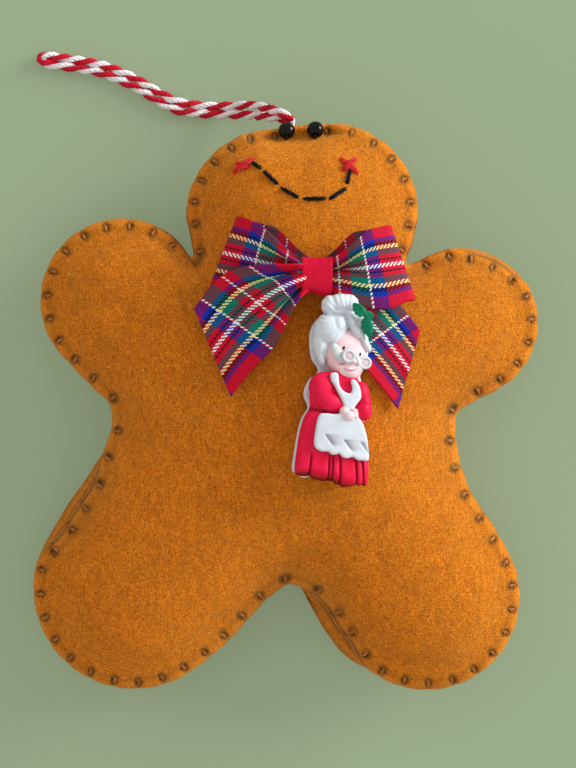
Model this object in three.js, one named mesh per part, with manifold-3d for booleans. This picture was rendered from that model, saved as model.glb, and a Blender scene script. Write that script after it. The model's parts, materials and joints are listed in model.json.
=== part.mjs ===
// Stuffed felt gingerbread figure with a cord hanger, bead eyes, a stitched face,
// a tartan bow and a soft moulded charm. Millimetres, lying on its back:
// +X to the right of the face, +Y to the top of the head, +Z out of the front.
import * as THREE from "three";
import { mergeVertices } from "three/addons/utils/BufferGeometryUtils.js";
import Module from "manifold-3d";

const wasm = await Module();
wasm.setup();

// Clearances
const FIT = 0.3; // between pieces that touch
const FINE_FIT = 0.15; // between the coloured layers of the charm
const WAD_FIT = 0.8; // round the stuffing

// Felt shell
const FELT = 1.2; // thickness of one panel
const SEAM_MARGIN = 2.3; // rim to the stitched line
const FRONT_SWELL = 12; // rise of the front over its flat rim
const BACK_SWELL = 10.5; // drop of the back under its flat rim
const REST_FLAT = 0.7; // how far the back is pressed flat where it lies
const STUFF_REACH = 15; // width over which the felt swells to its full height
const CHEST = { x: 0, y: 1.4 };

// Outline of the figure: round ends, then the points between them
const HEAD_RIGHT = { x: 8.1, y: 37.2, radius: 16.7, from: -20, to: 86, steps: 6 };
const HEAD_LEFT = { x: -4.2, y: 38.1, radius: 15.5, from: 98, to: 204, steps: 6 };
const LEFT_ARM = { x: -31.3, y: 20.3, radius: 15.6, from: 50, to: 228, steps: 10 };
const LEFT_LEG = { x: -29.1, y: -34.3, radius: 19.1, from: 160, to: 304, steps: 9 };
const RIGHT_LEG = { x: 26.4, y: -35.9, radius: 17.7, from: 236, to: 382, steps: 9 };
const RIGHT_ARM = { x: 33.3, y: 16.1, radius: 14.3, from: -62, to: 118, steps: 10 };
// Notch between two round ends: how deep it goes in from the middle of the gap, and how far along the gap
const LEFT_NECK = { depth: 3.33, along: -2.16 };
const RIGHT_NECK = { depth: 3.89, along: -0.20 };
// Sides between two round ends: offsets from points spaced evenly on the line between their centres
const LEFT_WAIST = [
  [-5.9, -16.3], [-3.24, -8.38], [-2.88, -0.86],
  [-4.62, 5.06], [-8.26, 10.78], [-12.9, 15.7],
];
const RIGHT_WAIST = [[12.8, 13.3], [7.42, 8.9], [3.84, 4.1], [1.46, -0.3], [0.48, -6.7], [2.3, -14.9]];
const CROTCH = [
  [17.1, -10.8], [12.25, -5.83], [7.2, -1.17], [2.05, 1.5],
  [-3.6, -0.63], [-8.75, -6.97], [-14.2, -11.3],
];

// Shell mesh: share of the way from the chest to the stitched line
const RINGS = [0.2, 0.48, 0.74, 0.92, 1];

// Stuffing
const TORSO_WAD = 26; // radius of the middle wad
const WAD_END = 0.94; // share of the way to the stitched line

// Edge stitching
const STITCH_PITCH = 5;
const THREAD = 0.5;

// Hanger
const CORD = 1.5;
const CORD_AT = 0.5; // sideways place of the exit in the top seam
const CORD_LEAD = 1.25; // rim to the point the loop turns about
const CORD_EYE = 0.98; // radius of the bend at the far end
const CORD_STEPS = 72;
const CORD_OVER = 0.2; // room under the lying cord
// Route of the loop from the exit: sideways, up, and share of the way down to where it lies
const CORD_ROUTE = [
  [-2.1, 1, 0.078], [-4.7, 2.3, 0.353], [-7.9, 2.9, 0.706], [-11.5, 3.2, 0.902], [-15.1, 3.3, 1],
  [-22.1, 4.3, 1], [-29.3, 7.8, 1], [-36.5, 10.8, 1], [-47.5, 12.75, 1],
];
const KNOT = 2.2; // half width of the knot inside the head

// Eyes
const BEAD = 3.1;
const BEAD_HOLE = 0.9;
const BEAD_LEFT = { x: -0.1, below: 2.71 }; // below the top of the head
const BEAD_RIGHT = { x: 5.3, below: 2.66 };
const BEAD_THREAD = 0.5;

// Mouth and cheeks, from the middle of the head
const FLOSS = 0.7;
const MOUTH = [[-8.35, 8.25], [-3.55, 3.95], [3.05, 1.15], [8.25, 2.95], [9.75, 6.55]];
const MOUTH_STITCHES = 6;
const MOUTH_DASH = 0.72; // stitch length as a share of the pitch
const CHEEKS = {
  left_cheek_under_stitch: { ends: [[-12.05, 8.45], [-8.95, 7.25]], over: false },
  left_cheek_over_stitch: { ends: [[-12.25, 6.45], [-8.55, 9.45]], over: true },
  right_cheek_under_stitch: { ends: [[7.95, 9.25], [11.35, 6.25]], over: false },
  right_cheek_over_stitch: { ends: [[8.35, 6.65], [10.95, 9.25]], over: true },
};

// Bow
const RIBBON = 16; // width of the tartan ribbon
const RIBBON_THICK = 0.35;
const BAND = { x: 5.4, y: 24.3, width: 5.6, height: 7, thick: 0.5 };
const BAND_ROUND = 1.2;
const LOOP_RISE = 3.2; // how far a loop stands open over its lower layer
const LOOP_FOLD = 1.5; // radius of the fold at the end of a loop
const LEFT_LOOP = { x: -11.6, y: 28.5, lean: 21, closed: -1 };
const RIGHT_LOOP = { x: 21.1, y: 26.6, lean: -18, closed: 0 };
const LEFT_TAIL = { x: -13.7, y: 10.3, bend: [-6, 21.5], cut: 23, curl: 1, hold: 1 };
const RIGHT_TAIL = { x: 22.2, y: 7.3, bend: [14.5, 18], cut: -28, curl: 0.88, hold: 0 };
const TAIL_LIFT = 1.5; // how far the left tail stands over the loop behind it
const TAIL_END = { left: 2.2, tilt: 1, right: 0.6 }; // height of the cut ends over the felt
const BOW_ROUND = 83; // radius in which the bow bends down at both sides

// Charm, in its own frame: u to the right, v up, w out of the felt
const CHARM = { x: 8.8, y: 1.5, lean: -1.5 };
const PLUG = { flange: 5.5, rim: 1.6, neck: 3, head: 4.6, headThick: 1.6 };
const BACKING = 1.4;
const DRESS_DEPTH = 3.4;
const APRON_DEPTH = 0.8;
const SLEEVE_LEFT = { u: -2.3, v: 0.9, w: 4.6, ru: 3, rv: 3, rw: 1.9 };
const SLEEVE_RIGHT = { u: 4.7, v: -0.7, w: 4.6, ru: 1.7, rv: 2.6, rw: 1.8 };
const HANDS = { u: 1.9, v: -2.2, w: 5.5, ru: 1.9, rv: 1.2, rw: 1.2 };
const FACE = { u: 1.8, v: 7.9, w: 4.1, ru: 4, rv: 4, rw: 2.4 };
const HAIR = [
  { u: -0.9, v: 10.9, w: 3.7, ru: 4.1, rv: 4.6, rw: 2.3 },
  { u: -2.2, v: 8.3, w: 3.6, ru: 2.7, rv: 3.4, rw: 2.2 },
  { u: 3.6, v: 11.6, w: 3.6, ru: 2.6, rv: 3.2, rw: 2 },
  { u: 0.6, v: 16.4, w: 3.4, ru: 3.1, rv: 2.8, rw: 2 },
];
const LENS = { ring: 1, wire: 0.22, w: 6.9 };
const LENSES = [[1.9, 7.5], [4.7, 6.5]];
const LEAF = { width: 2.3, thick: 0.7, stem: 0.6, u: 4.75, v: 14.95, w: 6.2 };
const LEAVES = [{ turn: 122, length: 3.4 }, { turn: 290, length: 3.8 }, { turn: 14, length: 2 }];
const CHARM_REACH = 22; // more than the charm measures from its button to any edge
const BACKING_EDGE = [
  [0.6, 18.4], [-2.6, 16.6], [-4.9, 11.6], [-4.6, 8], [-3.4, 5], [-5.2, 2.6], [-5.4, 0], [-4.6, -2.4],
  [-6.8, -7.6], [-7.6, -13], [-0.4, -15], [5.8, -15], [6, -10], [5, -4], [6, -1], [5, 2.4], [4.4, 4.4],
  [5.6, 7], [5.8, 11.4], [3.6, 16.6],
];
const DRESS_EDGE = [[-6, -7], [-4.2, -2], [-4.2, 2], [-2.4, 4.4], [3.2, 4.4], [4.2, 1.6], [4.2, -3]];
const HEM = { right: 5.8, width: 13, low: -14.4, rise: 1.56, pleat: 0.7, turns: 12 };
const APRON_EDGE = [
  [-0.4, 4.2], [0.6, 4.2], [0.7, 1.6], [2.4, 1.6], [2.5, 4.2], [3, 4.2], [3.8, -3.6], [5, -10.4], [3.4, -10],
  [2, -10.4], [0.6, -9.8], [-0.8, -10], [-2.2, -9.2], [-3.6, -8.8], [-3.4, -5.6], [-2.4, -2.6], [-0.6, -2],
];

const rad = THREE.MathUtils.degToRad;
const V3 = (x, y, z) => new THREE.Vector3(x, y, z);

// Solids and booleans
function solid(geometry, matrix) {
  const bare = geometry.index ? geometry.toNonIndexed() : geometry.clone();
  const moved = new THREE.BufferGeometry().setAttribute("position", bare.getAttribute("position"));
  if (matrix) moved.applyMatrix4(matrix);
  const merged = mergeVertices(moved, 1e-4);
  return new wasm.Manifold(
    new wasm.Mesh({
      numProp: 3,
      vertProperties: merged.attributes.position.array,
      triVerts: new Uint32Array(merged.index.array),
    }),
  );
}

function skin(made) {
  const mesh = made.getMesh();
  const geometry = new THREE.BufferGeometry();
  geometry.setAttribute("position", new THREE.BufferAttribute(mesh.vertProperties, 3));
  geometry.setIndex(new THREE.BufferAttribute(mesh.triVerts, 1));
  geometry.computeVertexNormals();
  return geometry;
}

// A closed solid from two facing grids of points. A wrapped grid closes round its columns
// and its first row is one point.
function shell(top, bottom, wrapped) {
  const triangles = [];
  const face = (a, b, c) => triangles.push(a, b, c);
  const cell = (a, b, c, d) => {
    face(a, b, c);
    face(a, c, d);
  };
  const last = top.length - 1;
  const columns = top[last].length;
  const spans = wrapped ? columns : columns - 1;
  const next = (j) => (j + 1) % columns;
  for (let i = 0; i < last; i++) {
    for (let j = 0; j < spans; j++) {
      const k = next(j);
      if (top[i].length === 1) {
        face(top[i][0], top[i + 1][j], top[i + 1][k]);
        face(bottom[i][0], bottom[i + 1][k], bottom[i + 1][j]);
      } else {
        cell(top[i][j], top[i + 1][j], top[i + 1][k], top[i][k]);
        cell(bottom[i][j], bottom[i][k], bottom[i + 1][k], bottom[i + 1][j]);
      }
    }
  }
  for (let j = 0; j < spans; j++) {
    cell(top[last][j], bottom[last][j], bottom[last][next(j)], top[last][next(j)]);
    if (!wrapped) cell(top[0][j], top[0][j + 1], bottom[0][j + 1], bottom[0][j]);
  }
  if (!wrapped) {
    for (let i = 0; i < last; i++) {
      cell(top[i][0], bottom[i][0], bottom[i + 1][0], top[i + 1][0]);
      cell(top[i][spans], top[i + 1][spans], bottom[i + 1][spans], bottom[i][spans]);
    }
  }
  return new THREE.BufferGeometry().setFromPoints(triangles);
}

function polygon(radius, sides) {
  const shape = new THREE.Shape();
  for (let i = 0; i < sides; i++) {
    const a = (2 * Math.PI * (i + 0.5)) / sides;
    if (i) shape.lineTo(radius * Math.cos(a), radius * Math.sin(a));
    else shape.moveTo(radius * Math.cos(a), radius * Math.sin(a));
  }
  return shape;
}

function tube(points, diameter, sides, steps) {
  const path = new THREE.CatmullRomCurve3(points, false, "centripetal");
  const section = polygon(diameter / 2, sides);
  return new THREE.ExtrudeGeometry(section, { steps, extrudePath: path, curveSegments: 1 });
}

// Outline
function roundEnd({ x, y, radius, from, to, steps }) {
  const points = [];
  for (let i = 0; i <= steps; i++) {
    const a = rad(from + ((to - from) * i) / steps);
    points.push([x + radius * Math.cos(a), y + radius * Math.sin(a)]);
  }
  return points;
}

function notch(before, after, { depth, along }) {
  const a = new THREE.Vector2(...roundEnd(before).at(-1));
  const b = new THREE.Vector2(...roundEnd(after)[0]);
  const gap = b.clone().sub(a).normalize();
  const place = a.lerp(b, 0.5).addScaledVector(gap, along);
  return [[place.x - depth * gap.y, place.y + depth * gap.x]];
}
const between = (before, after, offsets) => offsets.map(([x, y], i) => {
  const share = i / (offsets.length - 1);
  return [
    x + THREE.MathUtils.lerp(before.x, after.x, share),
    y + THREE.MathUtils.lerp(before.y, after.y, share),
  ];
});

const rim = [
  ...roundEnd(HEAD_RIGHT),
  ...roundEnd(HEAD_LEFT),
  ...notch(HEAD_LEFT, LEFT_ARM, LEFT_NECK),
  ...roundEnd(LEFT_ARM),
  ...between(LEFT_ARM, LEFT_LEG, LEFT_WAIST),
  ...roundEnd(LEFT_LEG),
  ...between(LEFT_LEG, RIGHT_LEG, CROTCH),
  ...roundEnd(RIGHT_LEG),
  ...between(RIGHT_LEG, RIGHT_ARM, RIGHT_WAIST),
  ...roundEnd(RIGHT_ARM),
  ...notch(RIGHT_ARM, HEAD_RIGHT, RIGHT_NECK),
].map(([x, y]) => new THREE.Vector2(x, y));
const around = rim.length;
// Top of the outline over a place
const rimTop = (x) => Math.max(...rim.map((a, i) => {
  const b = rim[(i + 1) % around];
  const share = (x - a.x) / (b.x - a.x);
  return share >= 0 && share <= 1 ? THREE.MathUtils.lerp(a.y, b.y, share) : -Infinity;
}));

// Outward direction of each side of the rim, and the outline moved in or out
const sideOut = rim.map((p, i) => {
  const q = rim[(i + 1) % around];
  return new THREE.Vector2(q.y - p.y, p.x - q.x).normalize();
});
const cornerOut = rim.map((_, i) => sideOut[(i + around - 1) % around].clone().add(sideOut[i]));
const stitchLine = rim.map((p, i) => {
  const out = cornerOut[i].clone().normalize();
  return p.clone().addScaledVector(out, -SEAM_MARGIN);
});
const offsetRim = (distance) => rim.map((p, i) => {
  const square = 1 + sideOut[(i + around - 1) % around].dot(sideOut[i]);
  return p.clone().addScaledVector(cornerOut[i], distance / square);
});

// Swell: height of a stretched skin over the stitched outline, 0 at the line and 1 at its highest
const chest = new THREE.Vector2(CHEST.x, CHEST.y);
const plan = [chest, ...RINGS.flatMap((g) => stitchLine.map((p) => chest.clone().lerp(p, g)))];
const at = (ring, i) => (ring < 0 ? 0 : 1 + ring * around + (i % around));
const fixedFrom = at(RINGS.length - 1, 0);

function stretchSkin() {
  const links = plan.map(() => new Map());
  const share = new Float64Array(plan.length);
  const triangle = (a, b, c) => {
    for (const [i, j, k] of [[a, b, c], [b, c, a], [c, a, b]]) {
      const p = plan[i].clone().sub(plan[k]);
      const q = plan[j].clone().sub(plan[k]);
      const twice = Math.abs(p.cross(q));
      const weight = p.dot(q) / twice / 2;
      links[i].set(j, (links[i].get(j) || 0) + weight);
      links[j].set(i, (links[j].get(i) || 0) + weight);
      share[k] += twice / 6;
    }
  };
  RINGS.forEach((_, r) => {
    for (let i = 0; i < around; i++) {
      triangle(at(r - 1, i), at(r, i), at(r, i + 1));
      if (r) triangle(at(r - 1, i), at(r, i + 1), at(r - 1, i + 1));
    }
  });
  const height = new Float64Array(plan.length);
  for (let pass = 0; pass < 500; pass++) {
    for (let i = 0; i < fixedFrom; i++) {
      let pull = share[i];
      let stiff = share[i] / STUFF_REACH ** 2;
      for (const [j, weight] of links[i]) {
        pull += weight * height[j];
        stiff += weight;
      }
      height[i] = pull / stiff;
    }
  }
  const highest = Math.max(...height);
  return height.map((h) => Math.sqrt(Math.max(0, h) / highest));
}
const swell = stretchSkin();

// Swell at any place on the plan
function swellAt(x, y) {
  const p = new THREE.Vector2(x, y).sub(chest);
  for (let i = 0; i < around; i++) {
    const a = stitchLine[i].clone().sub(chest);
    const b = stitchLine[(i + 1) % around].clone().sub(chest);
    const span = a.cross(b);
    const shareA = p.cross(b) / span;
    const shareB = a.cross(p) / span;
    if (shareA < -1e-9 || shareB < -1e-9) continue;
    const out = shareA + shareB;
    if (out >= 1) return 0;
    const along = out > 1e-9 ? shareB / out : 0;
    let r = RINGS.findIndex((g) => out < g);
    const inner = r ? RINGS[r - 1] : 0;
    const part = (out - inner) / (RINGS[r] - inner);
    const low = THREE.MathUtils.lerp(swell[at(r - 1, i)], swell[at(r - 1, r ? i + 1 : i)], along);
    const high = THREE.MathUtils.lerp(swell[at(r, i)], swell[at(r, i + 1)], along);
    return THREE.MathUtils.lerp(low, high, part);
  }
  return 0;
}

// Levels: the seam lies between the panels and the flat of the back at 0
const SEAM = FIT / 2 + FELT + BACK_SWELL - REST_FLAT;
const frontFelt = (s) => SEAM + FIT / 2 + FELT + FRONT_SWELL * s;
const backFelt = (s) => Math.max(0, SEAM - FIT / 2 - FELT - BACK_SWELL * s);
const frontAt = (x, y) => frontFelt(swellAt(x, y));
function normalAt(x, y) {
  const e = 0.9;
  return V3(frontAt(x - e, y) - frontAt(x + e, y), frontAt(x, y - e) - frontAt(x, y + e), 2 * e).normalize();
}
const onFront = (x, y, lift) => V3(x, y, frontAt(x, y) + lift);

// Materials
const paint = (color, roughness) => new THREE.MeshStandardMaterial({ color, roughness, metalness: 0 });
const FELT_LOOK = paint("#c06e20", 0.95);
const STITCH_LOOK = paint("#a75a17", 0.9);
const FILL_LOOK = paint("#f1efe8", 1);
const CORD_LOOK = paint("#d8515a", 0.9);
const BEAD_LOOK = paint("#0f0c0e", 0.15);
const BLACK_FLOSS = paint("#15120f", 0.8);
const RED_FLOSS = paint("#c8202c", 0.8);
const TARTAN_LOOK = paint("#b23a3f", 0.8);
const SATIN_LOOK = paint("#eb1649", 0.35);
const PLUG_LOOK = paint("#141414", 0.6);
const WHITE_LOOK = paint("#e8f3f8", 0.5);
const DRESS_LOOK = paint("#c9062c", 0.45);
const SKIN_LOOK = paint("#e6c0bd", 0.5);
const HOLLY_LOOK = paint("#06714f", 0.5);

const ornament = new THREE.Group();
ornament.name = "felt_ornament";
function add(name, geometry, look, parent = ornament) {
  const mesh = new THREE.Mesh(geometry, look);
  mesh.name = name;
  parent.add(mesh);
  return mesh;
}

// Felt panels
function panel(outer, inner) {
  const grid = (level) => [
    [V3(chest.x, chest.y, level(swell[0]))],
    ...RINGS.map((_, r) => stitchLine.map((_, i) => {
      const p = plan[at(r, i)];
      return V3(p.x, p.y, level(swell[at(r, i)]));
    })),
    rim.map((p) => V3(p.x, p.y, level(0))),
  ];
  return shell(grid(outer), grid(inner), true);
}
let front = solid(panel(frontFelt, (s) => frontFelt(s) - FELT));
let back = solid(panel((s) => backFelt(s) + FELT, backFelt));

// Stuffing: a round middle and one wad in each limb
const wadTop = (x, y) => frontAt(x, y) - FELT - WAD_FIT;
const wadBottom = (x, y) => backFelt(swellAt(x, y)) + FELT + WAD_FIT;
const torsoShare = (i) => Math.min(WAD_END - 0.06, TORSO_WAD / chest.distanceTo(stitchLine[i]));
function wad(rows, wrapped) {
  const grid = (level) => rows.map((row) => row.map((p) => V3(p.x, p.y, level(p.x, p.y))));
  return shell(grid(wadTop), grid(wadBottom), wrapped);
}
const everySecond = (_, i) => i % 2 === 0;
const torsoRow = (share) => stitchLine
  .map((p, i) => chest.clone().lerp(p, share * torsoShare(i)))
  .filter(everySecond);
const stuffed = (share) => stitchLine.map((p) => chest.clone().lerp(p, share * WAD_END));
const core = solid(wad([[chest], ...RINGS.map(stuffed)], true));
let torso = solid(wad([[chest], ...[0.5, 1].map(torsoRow)], true));

const limbStart = {};
let counted = 0;
for (const [name, points] of [
  ["head", roundEnd(HEAD_RIGHT).length + roundEnd(HEAD_LEFT).length],
  ["left_arm", 1 + roundEnd(LEFT_ARM).length],
  ["left_leg", LEFT_WAIST.length + roundEnd(LEFT_LEG).length],
  ["right_leg", CROTCH.length + roundEnd(RIGHT_LEG).length],
  ["right_arm", RIGHT_WAIST.length + roundEnd(RIGHT_ARM).length],
]) {
  limbStart[name] = [counted, counted + points - 1];
  counted += points;
}
function limbWad(name, skipStart, skipEnd) {
  const [first, end] = limbStart[name];
  const rows = [];
  for (let i = first + skipStart; i <= end - skipEnd; i += 2) {
    const near = torsoShare(i) + (2 * WAD_FIT) / chest.distanceTo(stitchLine[i]);
    rows.push([0, 0.5, 1].map((part) => chest.clone().lerp(stitchLine[i], near + (WAD_END - near) * part)));
  }
  const columns = [0, 1, 2].map((c) => rows.map((row) => row[c]));
  return solid(wad(columns, false)).intersect(core);
}
let headWad = limbWad("head", 1, 1);
const leftArmWad = limbWad("left_arm", 1, 1);
const leftLegWad = limbWad("left_leg", 4, 1);
const rightLegWad = limbWad("right_leg", 5, 1);
const rightArmWad = limbWad("right_arm", 5, 1);

// Hanger: both ends are knotted inside the head and the loop lies beside it
const topRim = rimTop(CORD_AT);
const cordExit = V3(CORD_AT, topRim + CORD_LEAD, SEAM);
const neckEnd = cordExit.y - CORD / 2 - FIT;
const neckStart = topRim - SEAM_MARGIN - 2 * KNOT;
const neckLength = neckEnd - neckStart;
const neckPlace = new THREE.Matrix4().makeTranslation(CORD_AT, (neckEnd + neckStart) / 2, SEAM);
const knotPlace = new THREE.Matrix4().makeTranslation(CORD_AT, neckStart, SEAM);
const neckRod = (grow) => {
  const radius = CORD / 2 + grow;
  return solid(new THREE.CylinderGeometry(radius, radius, neckLength, 10), neckPlace);
};
const knotBall = (grow) => solid(new THREE.SphereGeometry(KNOT + grow, 12, 8), knotPlace);
add("hanger_knot", skin(neckRod(0).add(knotBall(0))), CORD_LOOK);
const knotRoom = neckRod(FIT).add(knotBall(FIT));
front = front.subtract(knotRoom);
back = back.subtract(knotRoom);
headWad = headWad.subtract(knotRoom);

const cordRest = CORD / 2 + CORD_OVER;
const cordRun = new THREE.CatmullRomCurve3([
  cordExit,
  ...CORD_ROUTE.map(([x, y, down]) => (
    V3(cordExit.x + x, cordExit.y + y, THREE.MathUtils.lerp(SEAM, cordRest, down))
  )),
], false, "centripetal");
function cordLeg(side) {
  const points = [];
  for (let i = 0; i <= 22; i++) {
    const t = i / 22;
    const p = cordRun.getPointAt(t);
    const d = cordRun.getTangentAt(t);
    const start = THREE.MathUtils.smoothstep(t, 0, 0.16);
    const end = THREE.MathUtils.smoothstep(t, 0.8, 1);
    const apart = (CORD + FIT) / 2 * start + (CORD_EYE - (CORD + FIT) / 2) * end;
    const over = side * cordRest * (1 - start);
    const across = new THREE.Vector2(-d.y, d.x).normalize();
    points.push(V3(p.x - side * apart * across.x, p.y - side * apart * across.y, p.z + over));
  }
  return points;
}
const tipAt = cordRun.getPointAt(1);
const tipAim = cordRun.getTangentAt(1);
const tipBend = [40, 90, 140].map((a) => {
  const turn = Math.atan2(tipAim.y, tipAim.x) + rad(a - 90);
  return V3(tipAt.x + CORD_EYE * Math.cos(turn), tipAt.y + CORD_EYE * Math.sin(turn), cordRest);
});
const cordPoints = [...cordLeg(1), ...tipBend, ...cordLeg(-1).reverse()];
add("hanger_loop", tube(cordPoints, CORD, 8, CORD_STEPS), CORD_LOOK);

// Edge stitching: a thread along the rim, open at the hanger, with a leg over both faces at each stitch
const ringShape = new THREE.Shape(offsetRim(FIT + THREAD));
ringShape.holes.push(new THREE.Path(offsetRim(FIT)));
const ringThread = new THREE.ExtrudeGeometry(ringShape, { depth: THREAD, bevelEnabled: false });
let stitching = solid(ringThread, new THREE.Matrix4().makeTranslation(0, 0, SEAM - THREAD / 2));
const reach = FIT / 2 + FELT + FIT;
const stapleShape = new THREE.Shape([
  [FIT + THREAD, -reach - THREAD],
  [FIT + THREAD, reach + THREAD],
  [2 * FIT - SEAM_MARGIN, reach + THREAD],
  [2 * FIT - SEAM_MARGIN, reach],
  [FIT, reach],
  [FIT, -reach],
  [2 * FIT - SEAM_MARGIN, -reach],
  [2 * FIT - SEAM_MARGIN, -reach - THREAD],
].map(([x, y]) => new THREE.Vector2(x, y)));
const staple = new THREE.ExtrudeGeometry(stapleShape, { depth: THREAD, bevelEnabled: false });
staple.translate(0, 0, -THREAD / 2);
const sideLength = rim.map((p, i) => p.distanceTo(rim[(i + 1) % around]));
const rimLength = sideLength.reduce((sum, length) => sum + length, 0);
const stitches = Math.round(rimLength / STITCH_PITCH);
// Distance from a point to the nearest other side of the rim
function rimDistance(p, own) {
  const distances = rim.map((a, i) => {
    if (i === own) return Infinity;
    const b = rim[(i + 1) % around];
    const side = b.clone().sub(a);
    const share = THREE.MathUtils.clamp(p.clone().sub(a).dot(side) / side.lengthSq(), 0, 1);
    return p.distanceTo(a.clone().addScaledVector(side, share));
  });
  return Math.min(...distances);
}
const staples = [];
for (let n = 0; n < stitches; n++) {
  let run = ((n + 0.5) * rimLength) / stitches;
  let i = 0;
  while (run > sideLength[i]) {
    run -= sideLength[i];
    i += 1;
  }
  const a = rim[i];
  const b = rim[(i + 1) % around];
  const p = a.clone().lerp(b, run / sideLength[i]);
  if (p.distanceTo(new THREE.Vector2(CORD_AT, topRim)) < CORD + 2 * THREAD) continue;
  const along = b.clone().sub(a).normalize();
  const out = new THREE.Vector2(along.y, -along.x);
  if (rimDistance(p.clone().addScaledVector(out, FIT + THREAD), i) < 2 * FIT) continue;
  const aim = V3(-along.x, -along.y, 0);
  const basis = new THREE.Matrix4().makeBasis(V3(out.x, out.y, 0), V3(0, 0, 1), aim);
  staples.push(solid(staple, basis.setPosition(p.x, p.y, SEAM)));
}
stitching = wasm.Manifold.union([stitching, ...staples]);
const exitRoom = new THREE.BoxGeometry(2 * CORD, 4 * SEAM_MARGIN, 4 * reach);
stitching = stitching.subtract(solid(exitRoom, new THREE.Matrix4().makeTranslation(CORD_AT, topRim, SEAM)));

// Eyes: a bead on a short thread, hole lying up and down the face
const beadProfile = [];
for (let i = 0; i <= 6; i++) {
  const side = Math.asin(BEAD_HOLE / BEAD);
  const a = side + ((Math.PI - 2 * side) * i) / 6;
  beadProfile.push(new THREE.Vector2((BEAD / 2) * Math.sin(a), -(BEAD / 2) * Math.cos(a)));
}
beadProfile.push(beadProfile[0].clone());
for (const [name, { x, below }] of [["left", BEAD_LEFT], ["right", BEAD_RIGHT]]) {
  const y = rimTop(x) - below;
  const n = normalAt(x, y);
  const across = V3(1, 0, 0).addScaledVector(n, -n.x).normalize();
  const axis = n.clone().cross(across);
  const centre = onFront(x, y, 0).addScaledVector(n, BEAD / 2 + FIT);
  const bead = add(`eye_bead_${name}`, new THREE.LatheGeometry(beadProfile, 12), BEAD_LOOK);
  bead.matrixAutoUpdate = false;
  bead.matrix.makeBasis(across, axis, n).setPosition(centre);
  const beadRoom = solid(new THREE.SphereGeometry(BEAD / 2 + FIT, 12, 8));
  stitching = stitching.subtract(beadRoom.translate(centre.toArray()));
  const reachOut = BEAD / 2 + 0.35;
  const thread = [-1, -0.9, -0.4, 0.4, 0.9, 1].map((part) => {
    const drop = Math.abs(part) === 1 ? 0.3 * BEAD / 2 : 0;
    return centre.clone().addScaledVector(axis, part * reachOut).addScaledVector(n, -drop);
  });
  add(`eye_thread_${name}`, tube(thread, BEAD_THREAD, 6, 8), BLACK_FLOSS);
}

// Mouth: running stitches along one smiling line
const headMiddle = V3((HEAD_LEFT.x + HEAD_RIGHT.x) / 2, (HEAD_LEFT.y + HEAD_RIGHT.y) / 2, 0);
const onHead = ([x, y]) => V3(headMiddle.x + x, headMiddle.y + y, 0);
const smile = new THREE.CatmullRomCurve3(MOUTH.map(onHead), false, "centripetal");
const lowest = FLOSS / 2 + FIT;
for (let n = 0; n < MOUTH_STITCHES; n++) {
  const pitch = 1 / (MOUTH_STITCHES - 1 + MOUTH_DASH);
  const points = [0, 0.25, 0.5, 0.75, 1].map((part) => {
    const p = smile.getPointAt(Math.min(1, (n + part * MOUTH_DASH) * pitch));
    return onFront(p.x, p.y, lowest);
  });
  add(`mouth_stitch_${n + 1}`, tube(points, FLOSS, 6, 6), BLACK_FLOSS);
}

// Cheeks: two crosses, one stitch over the other
for (const [name, { ends, over }] of Object.entries(CHEEKS)) {
  const [a, b] = ends.map(onHead);
  const points = [0, 0.25, 0.5, 0.75, 1].map((part) => {
    const p = a.clone().lerp(b, part);
    const lift = over ? (FLOSS + FIT) * Math.sin(Math.PI * part) ** 0.6 : 0;
    return onFront(p.x, p.y, lowest + lift);
  });
  add(name, tube(points, FLOSS, 6, 8), RED_FLOSS);
}

// Bow
const bandSpan = [-1, -0.5, 0, 0.5, 1];
const bandSeats = bandSpan.flatMap((i) => bandSpan.map((j) => (
  frontAt(BAND.x + (i * BAND.width) / 2, BAND.y + (j * BAND.height) / 2)
)));
const bowSeat = Math.max(...bandSeats) + FIT;
const layer = (n) => BAND.thick + FIT + n * (RIBBON_THICK + FIT);
const bandDepth = layer(4) + BAND.thick;
const pinch = BAND.height / 2 - BAND.thick - BAND_ROUND / 2;
const bowBase = (x, y) => {
  const away = Math.hypot(x - BAND.x, y - BAND.y);
  const sag = Math.max(0, away - BAND.width) ** 2 / (2 * BOW_ROUND);
  return Math.max(bowSeat - sag, frontAt(x, y) + FIT);
};

function ribbon(rows) {
  const back = rows.map((row, i) => row.map((p, j) => {
    const along = rows[Math.min(i + 1, rows.length - 1)][j].clone().sub(rows[Math.max(i - 1, 0)][j]);
    const across = row[Math.min(j + 1, row.length - 1)].clone().sub(row[Math.max(j - 1, 0)]);
    return p.clone().addScaledVector(along.cross(across).normalize(), -RIBBON_THICK);
  }));
  return shell(rows, back, false);
}
const SPAN = [-1, -0.6, -0.2, 0.2, 0.6, 1];

const bandEdge = (side) => new THREE.Vector2(BAND.x + side * (BAND.width / 2 + FIT), BAND.y);
const inBand = (side) => new THREE.Vector2(BAND.x + side * FIT, BAND.y);
const { lerp, smoothstep } = THREE.MathUtils;

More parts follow.
